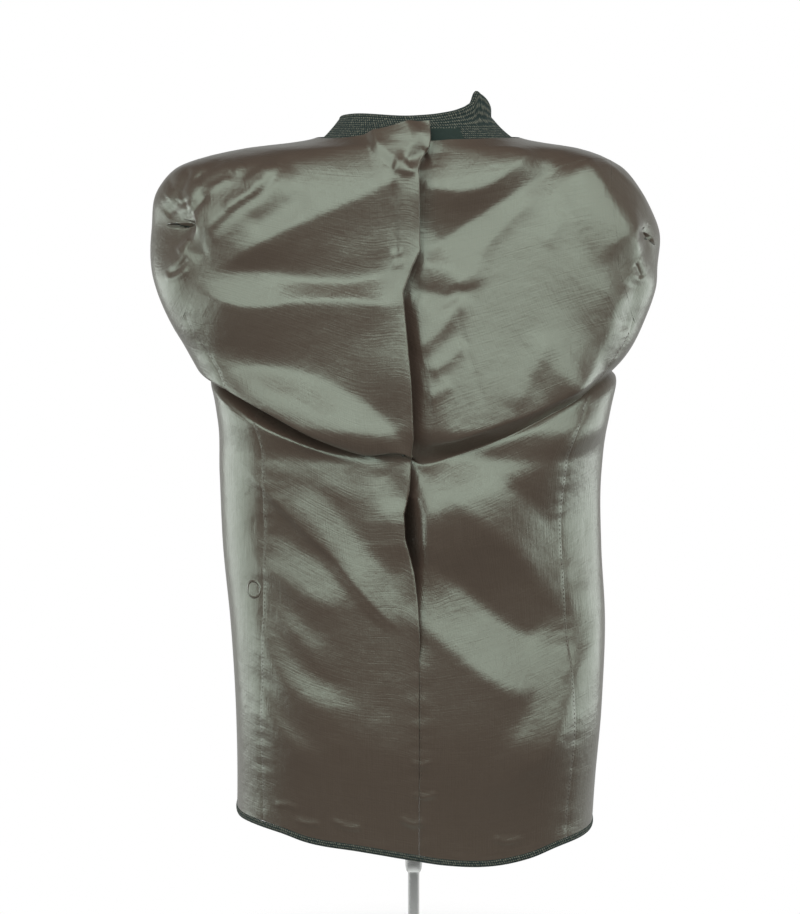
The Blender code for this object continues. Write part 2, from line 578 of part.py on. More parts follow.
def add_wall(name, outer, inner, material, round_closed=False):
    """A closed wall between two grids of points, in rows and columns. A round one's columns form a loop."""
    rows, columns = outer.shape[:2]
    bm = bmesh.new()
    skins = [[[bm.verts.new(p) for p in row] for row in grid] for grid in (outer, inner)]
    spans = columns if round_closed else columns - 1
    for skin in skins:
        for r in range(rows - 1):
            for c in range(spans):
                d = (c + 1) % columns
                bm.faces.new((skin[r][c], skin[r][d], skin[r + 1][d], skin[r + 1][c]))
    rims = [[(r, c) for c in range(columns)] for r in (0, rows - 1)]
    if not round_closed:
        rims += [[(r, c) for r in range(rows)] for c in (0, columns - 1)]
    for rim in rims:
        loop = rim + rim[:1] if round_closed else rim
        for (r, c), (s, d) in zip(loop, loop[1:]):
            bm.faces.new((skins[0][r][c], skins[0][s][d], skins[1][s][d], skins[1][r][c]))
    return add_object(name, bm, material)


def add_turned(name, profile, sides, material):
    """A solid of revolution about Z. The profile runs from its bottom middle to its top middle."""
    bm = bmesh.new()
    verts = [bm.verts.new((radius, 0.0, height)) for radius, height in profile]
    edges = [bm.edges.new(pair) for pair in zip(verts, verts[1:])]
    bmesh.ops.spin(bm, geom=verts + edges, axis=(0, 0, 1), cent=(0, 0, 0), angle=2 * math.pi,
                   steps=sides, use_merge=True)
    bmesh.ops.remove_doubles(bm, verts=bm.verts, dist=1e-6)
    return add_object(name, bm, material)


def cloth_grid(turns, runs, lapped=False, depth=0.0):
    """Points of the cloth at a grid of turns and runs, moved in from the lining side by depth."""
    points = cloth(turns, runs, lapped)
    if depth:
        normal = outward(lambda t, r: cloth(t, r, lapped), turns, runs)
        points = points - normal * depth
    return points


def add_panel(name, turns, runs, material, lapped=False, sides=ALL_SIDES, wall=WALL, depth=0.0):
    outer = inset(cloth_grid(turns, runs, lapped, depth), sides)
    inner = inset(cloth_grid(turns, runs, lapped, depth + wall), sides)
    return add_wall(name, outer, inner, material)


def top_rise(turn):
    """How far the left back's top edge is carried up over the neck facing."""
    return LEFT_TOP_RISE * smooth_step(1.0 - np.abs(turn) / LEFT_TOP_REACH)


def back_panel(sign):
    """Turns and runs of one back panel. Columns go from the side seam to the centre back."""
    turns, runs = [], []
    for row in range(LAST_ROW + 1):
        edge = sign * panel_edge(row, sign)
        centre_run = float(row_run(row, 0.0, NECK_RUN))
        shift = pleat(centre_run, "lap") if sign < 0 else -pleat(centre_run, "under")
        back = float(curve_through(centre_run, RUNS, BACKS))
        middle = float(centre_turn(centre_run) + shift / back)
        line = edge + (middle - edge) * np.array(BACK_COLUMNS)
        top = NECK_RUN + (top_rise(line) if sign < 0 else 0.0)
        turns.append(line)
        runs.append(np.broadcast_to(row_run(row, line, top), line.shape))
    return np.array(turns), np.array(runs)


def side_panel(sign):
    """Turns and runs of one side panel, from the hem to the foot of the armhole."""
    shares = np.linspace(0.0, 1.0, SIDE_COLUMNS + 1)
    corner = armhole_edge(BASE_ROW, sign)[0]
    corner_line = corner + (HALF_TURN - 2 * corner) * shares
    dip = armhole_foot(corner_line, sign) - row_run(BASE_ROW, sign * corner_line, NECK_RUN)
    turns, runs = [], []
    for row in range(BASE_ROW + 1):
        edge = panel_edge(row, sign)
        line = sign * (edge + (HALF_TURN - 2 * edge) * shares)
        climb = max(0.0, (row - FOLD_END_ROW) / ARMHOLE_BASE_ROW)
        turns.append(line)
        runs.append(row_run(row, line, NECK_RUN) + dip * climb)
    return np.array(turns), np.array(runs)


def armhole_foot(turn, sign):
    """The run of an armhole's lower edge, between the side panel's corners."""
    middle, half = armhole_span(sign)
    share = np.clip((turn - RIGHT_ANGLE) / ARMHOLE_SPREAD, -1.0, 1.0)
    return middle - half * np.sqrt(1.0 - share * share)


def front_strip(sign, columns, outer_edge, inner_edge):
    """Turns and runs of a front piece between two edges, each a function of row and run, from centre front."""
    shares = np.linspace(0.0, 1.0, columns + 1)
    turns, runs = [], []
    for row in range(LAST_ROW + 1):
        middle_run = float(row_run(row, sign * (HALF_TURN - SIDE_SEAM_TURN), NECK_RUN))
        first, last = outer_edge(row, middle_run), inner_edge(row, middle_run)
        line = sign * (HALF_TURN - (first + (last - first) * shares))
        turns.append(line)
        runs.append(np.broadcast_to(row_run(row, line, NECK_RUN), line.shape))
    return np.array(turns), np.array(runs)


def side_name(sign):
    return "left" if sign < 0 else "right"


def make_body(lining, tweed):
    """Back, side and front linings, the front facings and the tweed edge under the hem."""
    for sign in (-1, 1):
        side = side_name(sign)
        turns, runs = back_panel(sign)
        add_panel(f"back_{side}", turns, runs, lining, lapped=sign < 0)
        add_hem(f"hem_back_{side}", turns[0], tweed, sign < 0)

        turns, runs = side_panel(sign)
        add_panel(f"side_{side}", turns, runs, lining)
        add_hem(f"hem_side_{side}", turns[0], tweed)

        turns, runs = front_strip(sign, FRONT_COLUMNS, lambda row, run: panel_edge(row, sign),
                                  lambda row, run: float(facing_edge(run)))
        add_panel(f"front_{side}", turns, runs, lining)
        add_hem(f"hem_front_{side}", turns[0], tweed)

        turns, runs = front_strip(sign, FACING_COLUMNS, lambda row, run: float(facing_edge(run)),
                                  lambda row, run: float(front_edge(run)))
        runs[0] -= HEM_EDGE
        add_panel(f"facing_{side}", turns, runs, tweed)


def add_hem(name, turns, tweed, lapped=False):
    """The tweed edge below a panel."""
    runs = np.stack([hem_run(turns) - HEM_EDGE, hem_run(turns)])
    add_panel(name, np.stack([turns, turns]), runs, tweed, lapped, wall=HEM_WALL)


def make_neck(tweed, label_cloth):
    """The neck facing, the collar above it and the bare label on it."""
    turns = np.linspace(-COLLAR_END_TURN, COLLAR_END_TURN, COLLAR_COLUMNS + 1)
    seam_run = float(run_at(COLLAR_SEAM_HEIGHT))
    rows = np.linspace(NECK_RUN - FACING_TUCK, seam_run, 3)
    grid = np.meshgrid(turns, rows)
    add_panel("neck_facing", *grid, tweed, sides=("last_row",), wall=TWEED_WALL, depth=FACING_DEPTH)

    across = np.linspace(LABEL_FROM, LABEL_TO, LABEL_COLUMNS + 1)
    facing_back = float(curve_through(seam_run, RUNS, BACKS))
    label_turns = np.arctan2(across, facing_back)
    label_rows = np.linspace(NECK_RUN + LAP_GAP, seam_run - LAP_GAP, 2)
    grid = np.meshgrid(label_turns, label_rows)
    add_panel("neck_label", *grid, label_cloth, sides=(), wall=LABEL_WALL,
              depth=FACING_DEPTH - LABEL_WALL - LAP_GAP)
    make_collar(turns, seam_run, tweed)


def make_collar(turns, seam_run, tweed):
    """The stand goes up from the facing, rolls over and falls inside, next to the form's neck."""
    tops = curve_through(turns, np.radians(column(COLLAR_RISE, "turn_deg")), column(COLLAR_RISE, "top"))
    foot = cloth_grid(turns, np.full(turns.shape, seam_run), depth=FACING_DEPTH)
    lean = cloth_grid(turns, np.full(turns.shape, seam_run + COLLAR_LEAN), depth=FACING_DEPTH) - foot
    lean = lean / lean[:, 2:]
    lean[:, 2] = 0.0
    stand = tops - COLLAR_ROLL - foot[:, 2]
    inward = -outward(plain_cloth, turns, np.full(turns.shape, seam_run))
    inward[:, 2] = 0.0
    inward = inward / np.linalg.norm(inward, axis=1, keepdims=True)
    up = np.array([0.0, 0.0, 1.0])
    skins = []
    for radius, start in ((COLLAR_ROLL, 0.0), (COLLAR_ROLL - TWEED_WALL, TWEED_WALL)):
        base = foot + inward * start
        rows = []
        for share in np.linspace(0, 1, COLLAR_STAND_ROWS):
            rise = (stand * share)[:, None]
            rows.append(base + up * rise + lean * np.minimum(rise, COLLAR_LEAN))
        shoulder = rows[-1]
        for angle in np.linspace(0, math.pi, COLLAR_ROLL_ROWS + 1)[1:]:
            rows.append(shoulder + inward * radius * (1 - math.cos(angle)) + up * radius * math.sin(angle))
        drop = np.minimum(COLLAR_FALL, stand + COLLAR_FALL_PAST_SEAM)
        for share in (0.5, 1.0):
            rows.append(rows[COLLAR_STAND_ROWS + COLLAR_ROLL_ROWS - 1] - up * (drop * share)[:, None])
        skins.append(inset(np.array(rows), ("first_row",), SEAM_GAP))
    add_wall("collar", *skins, tweed)


def crown_loop(sign):
    """Turns and runs round one armhole: foot, front edge upwards, top, back edge downwards."""
    corner = armhole_edge(BASE_ROW, sign)[0]
    foot = corner + (HALF_TURN - 2 * corner) * np.linspace(0.0, 1.0, SIDE_COLUMNS + 1)
    loop = [(turn, float(armhole_foot(turn, sign))) for turn in foot[1:-1]]
    edge = [armhole_edge(row, sign) for row in range(BASE_ROW, TOP_ROW)]
    loop += [(HALF_TURN - turn, run) for turn, run in edge]
    loop.append((RIGHT_ANGLE, sum(armhole_span(sign))))
    loop += edge[::-1]
    turns, runs = np.array(loop).T
    return sign * turns, runs


def make_sleeve(sign, lining):
    """The crown on the armhole draws in to a pinched mouth. Behind it the tube hangs inside the coat."""
    side = side_name(sign)
    mouth = MOUTHS[side]
    loop_turn, loop_run = crown_loop(sign)
    mouth_run = float(run_at(mouth.height))
    centre = cloth(mouth.turn, mouth_run)
    normal = outward(plain_cloth, np.float64(mouth.turn), np.float64(mouth_run))
    reach = float(np.hypot(centre[0], centre[1]))
    across, along = (loop_turn - mouth.turn) * reach, loop_run - mouth_run
    angle = np.arctan2(along, across)
    cos, sin = math.cos(mouth.slant), math.sin(mouth.slant)
    flat_x, flat_y = mouth.half_long * np.cos(angle), mouth.half_open * np.sin(angle)
    lip_turn = mouth.turn + (cos * flat_x - sin * flat_y) / reach
    lip_run = mouth_run + sin * flat_x + cos * flat_y

    outer, inner = [], []
    for ring in range(CROWN_RINGS):
        share = ring / CROWN_RINGS
        turn, run = loop_turn + (lip_turn - loop_turn) * share, loop_run + (lip_run - loop_run) * share
        bump = mouth.puff * math.sin(math.pi * share) - MOUTH_DIP * float(smooth_step(share * 2 - 1))
        bump = bump + CROWN_PUCKER_DEPTH * np.cos(CROWN_PUCKERS * angle) * math.sin(math.pi * share)
        way = outward(cloth, turn, run)
        points = cloth(turn, run) + way * np.reshape(bump, (-1, 1))
        if ring == 0:
            points = cloth(turn, run)
        outer.append(points)
        inner.append(points - way * WALL)
    add_tube_rings(sign, mouth, centre, normal, angle, outer, inner)
    outer, inner = np.array(outer), np.array(inner)
    for grid in (outer, inner):
        way = grid[1] - grid[0]
        grid[0] += way / np.linalg.norm(way, axis=-1, keepdims=True) * SEAM_GAP / 2
    add_wall(f"sleeve_{side}", outer, inner, lining, round_closed=True)


def add_tube_rings(sign, mouth, centre, normal, angle, outer, inner):
    """Appends the sleeve's rings behind its mouth to the two grids."""
    start = centre - normal * (MOUTH_DIP + THROAT)
    path = [start] + [np.array([sign * hang.out, hang.along, hang.height]) for hang in SLEEVE_HANG]
    wide = [mouth.half_long] + [hang.half_wide for hang in SLEEVE_HANG]
    thick = [mouth.half_open] + [hang.half_thick for hang in SLEEVE_HANG]
    knots = np.concatenate([[0.0], np.cumsum(np.linalg.norm(np.diff(path, axis=0), axis=1))])
    level = np.array([normal[1], -normal[0], 0.0])
    level = level / np.linalg.norm(level) * -sign
    hung = np.array([0.0, -1.0, 0.0])
    places = knots[-1] * (np.arange(SLEEVE_RINGS + 1) / SLEEVE_RINGS) ** SLEEVE_RING_BIAS
    points = np.stack([curve_through(places, knots, line) for line in np.array(path).T], axis=-1)
    ahead = np.stack([curve_through(places + STEP, knots, line) for line in np.array(path).T], axis=-1)
    for place, point, forward in zip(places, points, ahead - points):
        turned = float(smooth_step(place / THROAT_TURN))
        broad = level * (1.0 - turned) + hung * turned
        broad = broad - forward * (broad @ forward) / (forward @ forward)
        broad = broad / np.linalg.norm(broad)
        across = np.cross(forward / np.linalg.norm(forward), broad) * sign
        half_wide, half_thick = np.interp(place, knots, wide), np.interp(place, knots, thick)
        for grid, more in ((outer, 0.0), (inner, WALL)):
            ring = np.outer(np.cos(angle) * (half_wide + more), -broad * sign)
            ring = ring + np.outer(np.sin(angle) * (half_thick + more), across)
            grid.append(point + ring)


def make_form(foam):
    """A smooth torso that the coat's shoulder line rests on."""
    seats = []
    for height in SEAT_HEIGHTS:
        at = run_at(height)
        left, right, back, front = (float(curve_through(at, RUNS, column(SECTIONS, name)))
                                    for name in ("left", "right", "back", "front"))
        seats.append(FormSection(height - SEAT_DROP, left, right, back * SEAT_SLIM, front * SEAT_SLIM, 2.0))
    sections = FORM_BODY + tuple(seats) + FORM_NECK
    turns = np.linspace(0.0, 2 * math.pi, FORM_COLUMNS, endpoint=False)
    bm = bmesh.new()
    rings = []
    for section in sections:
        x, y = oval(turns, *section[1:])
        rings.append([bm.verts.new((a, b, section.height)) for a, b in zip(x, y)])
    for low, high in zip(rings, rings[1:]):
        for c in range(FORM_COLUMNS):
            d = (c + 1) % FORM_COLUMNS
            bm.faces.new((low[c], low[d], high[d], high[c]))
    bm.faces.new(rings[0])
    bm.faces.new(rings[-1])
    add_object("form_torso", bm, foam)


def make_stand(chrome):
    """A round base, a rod and the coupling that carries the form."""
    add_turned("stand_base", (
        (0.0, 0.0), (BASE_RADIUS - BASE_EDGE / 2, 0.0), (BASE_RADIUS, BASE_EDGE / 2),
        (BASE_RADIUS, BASE_THICK - BASE_EDGE), (BASE_RADIUS - BASE_EDGE, BASE_THICK), (0.0, BASE_THICK),
    ), BASE_SIDES, chrome)
    add_turned("stand_rod", (
        (0.0, BASE_THICK + SEAT_GAP), (ROD_RADIUS, BASE_THICK + SEAT_GAP),
        (ROD_RADIUS, COUPLING_BOTTOM - SEAT_GAP), (0.0, COUPLING_BOTTOM - SEAT_GAP),
    ), ROD_SIDES, chrome)
    top = FORM_BODY[0].height - SEAT_GAP
    foot_radius = ROD_RADIUS + COUPLING_LIP
    round_end = [(foot_radius + (COUPLING_RADIUS - foot_radius) * math.sin(angle),
                  COUPLING_BOTTOM + COUPLING_ROUND * (1.0 - math.cos(angle)))
                 for angle in np.linspace(0.0, RIGHT_ANGLE, COUPLING_ROUND_STEPS)]
    profile = [(0.0, COUPLING_BOTTOM)] + round_end
    add_turned("stand_coupling", (*profile, (COUPLING_RADIUS, top), (0.0, top)), ROD_SIDES, chrome)


def main():
    for old in list(bpy.data.objects):
        bpy.data.objects.remove(old)
    lining = make_material("lining_satin", (0.150, 0.128, 0.108), 0.38)
    tweed = make_material("tweed", (0.030, 0.040, 0.036), 0.85)
    label_cloth = make_material("label_cloth", (0.020, 0.036, 0.028), 0.60)
    foam = make_material("form_white", (0.820, 0.815, 0.800), 0.55)
    chrome = make_material("chrome", (0.780, 0.790, 0.800), 0.12, metallic=1.0)
    make_body(lining, tweed)
    make_neck(tweed, label_cloth)
    for sign in (-1, 1):
        make_sleeve(sign, lining)
    make_form(foam)
    make_stand(chrome)


main()
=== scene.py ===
"""Looks of a sport coat, turned inside out, on a limbless dress form with a counter stand.

Metres, +Z up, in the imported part's frame: the coat's back faces -Y, and the origin is under the middle of
the stand's base. The cloth lies on one surface, read by turn, the angle round the body from the centre back
(positive towards +X), and run, the way up the cloth from the hem to the collar's roll.
"""

import json
import math
from collections import namedtuple
from functools import partial

import bmesh
import bpy
import numpy as np
from mathutils import Matrix

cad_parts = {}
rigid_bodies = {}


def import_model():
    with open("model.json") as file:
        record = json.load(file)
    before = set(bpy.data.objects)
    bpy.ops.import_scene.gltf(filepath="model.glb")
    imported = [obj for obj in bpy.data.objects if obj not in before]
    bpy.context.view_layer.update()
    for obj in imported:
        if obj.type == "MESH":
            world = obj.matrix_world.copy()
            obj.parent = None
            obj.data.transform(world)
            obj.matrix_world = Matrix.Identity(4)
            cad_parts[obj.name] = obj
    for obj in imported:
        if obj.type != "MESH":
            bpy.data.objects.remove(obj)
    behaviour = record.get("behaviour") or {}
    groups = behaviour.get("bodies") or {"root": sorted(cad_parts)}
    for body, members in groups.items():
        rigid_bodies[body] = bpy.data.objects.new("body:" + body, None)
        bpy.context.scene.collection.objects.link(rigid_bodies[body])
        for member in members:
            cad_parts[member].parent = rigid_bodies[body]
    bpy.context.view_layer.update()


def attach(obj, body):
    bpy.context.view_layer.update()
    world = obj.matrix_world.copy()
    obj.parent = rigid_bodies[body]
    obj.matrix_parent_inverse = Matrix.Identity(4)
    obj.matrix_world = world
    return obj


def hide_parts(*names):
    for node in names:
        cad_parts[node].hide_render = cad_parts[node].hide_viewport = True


# Cloth
SHELL = 0.0014
TWEED_SHELL = 0.0016
HEM_SHELL = 0.0026
LABEL_SHELL = 0.0007
SEAM_GAP = 0.0003
FACING_DEPTH = 0.0034  # of the neck facing behind the lining's outer side
LABEL_DEPTH = FACING_DEPTH - LABEL_SHELL - SEAM_GAP

# Sections of the coat, each a rounded oval seen from above
Section = namedtuple("Section", "height left right back front square")
SECTIONS = [Section(*row) for row in (
    (0.262, 0.197, 0.196, 0.126, 0.130, 2.70),
    (0.340, 0.195, 0.200, 0.127, 0.133, 2.60),
    (0.430, 0.196, 0.206, 0.126, 0.135, 2.50),
    (0.520, 0.201, 0.209, 0.122, 0.133, 2.50),
    (0.600, 0.208, 0.204, 0.118, 0.129, 2.50),
    (0.680, 0.210, 0.202, 0.117, 0.128, 2.50),
    (0.740, 0.211, 0.208, 0.119, 0.130, 2.45),
    (0.790, 0.224, 0.222, 0.118, 0.133, 2.40),
    (0.840, 0.260, 0.245, 0.112, 0.135, 2.30),
    (0.895, 0.280, 0.261, 0.106, 0.133, 2.25),
    (0.940, 0.283, 0.265, 0.101, 0.127, 2.20),
    (0.980, 0.275, 0.243, 0.0965, 0.114, 2.15),
    (1.010, 0.249, 0.219, 0.0905, 0.098, 2.10),
    (1.027, 0.189, 0.181, 0.0850, 0.086, 2.05),
    (1.040, 0.104, 0.112, 0.080, 0.074, 2.00),
    (1.054, 0.0885, 0.093, 0.0715, 0.066, 2.00),
    (1.068, 0.078, 0.081, 0.065, 0.060, 2.00),
)]

# Hem, neck and front edges
Hem = namedtuple("Hem", "turn_deg height")
HEM_LINE = [Hem(*row) for row in (
    (-90, 0.312), (-80, 0.3125), (-64, 0.314), (-54, 0.311), (-46, 0.305), (-26, 0.298), (0, 0.288),
    (14, 0.283), (40, 0.282), (48, 0.286), (58, 0.294), (70, 0.297), (80, 0.297), (90, 0.297),
)]
HEM_EDGE = 0.007  # tweed that shows under the lining
HEM_PUFF = 0.0010
HEM_PUFF_POWER = 0.7  # below 1 for a fuller puff
NECK_HEIGHT = 1.040
FACING_TUCK = 0.004  # neck facing behind the lining's top edge
COLLAR_SEAM_HEIGHT = 1.054
LEFT_TOP_RISE = 0.0215  # the pleat carries the left back's top edge this far up the facing
LEFT_TOP_REACH = 1.0  # turn over which that rise fades out
FRONT_GAP = 0.014
FRONT_BREAK_HEIGHT = 0.72
FRONT_NECK_HALF = 0.046
FACING_WIDTH = 0.095
FACING_NECK_TURN = math.radians(66)

# The crosswise fold. On the left the upper back hangs over as a lip with a pocket behind it, on the right the
# cloth dips into a trough. The lip stands out over the height of its hang, and the cloth slides under it by
# the tuck. Over and under are the reach of the pocket or trough on each side of its deepest line, which is
# the drop below the fold, and sharp is how square it is. Below it the cloth comes out again as a rim.
FOLD_SPAN = 0.030  # of the fine rows on each side of it
Crosswise = namedtuple("Crosswise", "turn_deg height lip hang tuck pocket drop over under sharp rim")
CROSSWISE = [Crosswise(*row) for row in (
    (-90, 0.798, 0.006, 0.024, 0.0040, 0.006, 0.011, 0.008, 0.007, 3.0, 0.001),
    (-82, 0.796, 0.009, 0.024, 0.0070, 0.012, 0.013, 0.011, 0.008, 3.2, 0.002),
    (-72, 0.787, 0.014, 0.026, 0.0100, 0.021, 0.014, 0.012, 0.010, 3.4, 0.003),
    (-58, 0.765, 0.017, 0.032, 0.0110, 0.025, 0.014, 0.012, 0.010, 3.4, 0.004),
    (-43, 0.739, 0.017, 0.040, 0.0110, 0.020, 0.012, 0.010, 0.007, 3.2, 0.004),
    (-26, 0.718, 0.011, 0.040, 0.0080, 0.006, 0.008, 0.008, 0.005, 2.4, 0.004),
    (-3, 0.714, 0.005, 0.014, 0.0040, 0.003, 0.008, 0.008, 0.008, 1.6, 0.004),
    (3, 0.703, 0.000, 0.020, 0.0010, 0.006, 0.000, 0.016, 0.011, 1.4, 0.016),
    (20, 0.714, 0.000, 0.020, 0.0010, 0.007, 0.000, 0.014, 0.012, 1.4, 0.022),
    (40, 0.733, 0.000, 0.020, 0.0020, 0.008, 0.000, 0.013, 0.012, 1.4, 0.022),
    (58, 0.760, 0.000, 0.020, 0.0030, 0.010, 0.000, 0.013, 0.012, 1.4, 0.0175),
    (70, 0.778, 0.000, 0.020, 0.0030, 0.012, 0.000, 0.014, 0.010, 1.4, 0.009),
    (82, 0.786, 0.000, 0.020, 0.0020, 0.013, 0.000, 0.015, 0.006, 1.3, 0.003),
    (90, 0.788, 0.000, 0.020, 0.0020, 0.010, 0.000, 0.016, 0.005, 1.3, 0.001),
)]
LIP_SOFTNESS = 0.008
RIM_DROP = 0.054  # of the rim below the pocket or trough
RIM_SOFTNESS = 0.044  # above the rim
RIM_FALL = 0.090  # and below it
FRONT_FADE = -0.35  # cosine of the turn at which the crosswise fold has died away, round the sides

# The centre back pleat. The left back goes past the centre line by its lap, lifted, and the right back goes
# on under it, dipped. Round is the radius of their turned-under edges.
Pleat = namedtuple("Pleat", "height centre lap under lift dip round")
PLEAT = [Pleat(*row) for row in (
    (0.260, 0.005, -0.00015, -0.00015, 0.0000, 0.0000, 0.0000),
    (0.490, 0.005, -0.00015, -0.00015, 0.0000, 0.0000, 0.0000),
    (0.515, 0.004, 0.0008, 0.003, 0.0012, 0.0034, 0.0010),
    (0.560, 0.000, 0.0020, 0.006, 0.0040, 0.0050, 0.0014),
    (0.590, -0.005, 0.0020, 0.010, 0.0065, 0.0090, 0.0018),
    (0.620, -0.014, 0.002, 0.012, 0.0095, 0.0240, 0.0020),
    (0.645, -0.014, 0.001, 0.012, 0.0095, 0.0220, 0.0020),
    (0.670, -0.009, 0.001, 0.006, 0.0065, 0.0060, 0.0018),
    (0.730, -0.005, 0.002, 0.006, 0.0060, 0.0060, 0.0018),
    (0.790, -0.010, 0.004, 0.008, 0.0085, 0.0090, 0.0020),
    (0.830, -0.014, 0.004, 0.010, 0.0090, 0.0100, 0.0020),
    (0.872, -0.020, 0.006, 0.012, 0.0090, 0.0100, 0.0020),
    (0.900, -0.011, 0.007, 0.012, 0.0080, 0.0070, 0.0020),
    (0.920, -0.004, 0.008, 0.010, 0.0078, 0.0050, 0.0018),
    (1.000, -0.005, 0.008, 0.008, 0.0085, 0.0050, 0.0018),
    (1.010, -0.005, 0.009, 0.009, 0.0088, 0.0050, 0.0020),
    (1.018, -0.001, 0.009, 0.010, 0.0090, 0.0050, 0.0022),
    (1.027, 0.004, 0.009, 0.010, 0.0092, 0.0045, 0.0022),
    (1.035, 0.006, 0.009, 0.010, 0.0098, 0.0035, 0.0020),
    (1.044, 0.005, 0.009, 0.008, 0.0104, 0.0030, 0.0018),
    (1.068, 0.001, 0.009, 0.006, 0.0150, 0.0020, 0.0018),
)]
PLEAT_DIP_REACH = 0.015
DIP_TURN = 0.6  # left of the pleat, as far as the right back ever goes
PLEAT_SOFTNESS = 0.026
CURL_SHARE = 0.10  # of the columns, in the turned-under edge
CURL_BEND = 0.625  # of that edge, in its round, before its tail
CURL_TAIL = 0.008
CURL_LEAST, CURL_MOST = 0.0004, 0.0012  # rounds between which a turned-in allowance becomes a curl
ALLOWANCE = 0.004  # turned in at the sewn part of the centre back
SEWN_HEIGHT = 0.505  # up to which the centre back is sewn
SEWN_END = 0.02  # over which the sewing ends

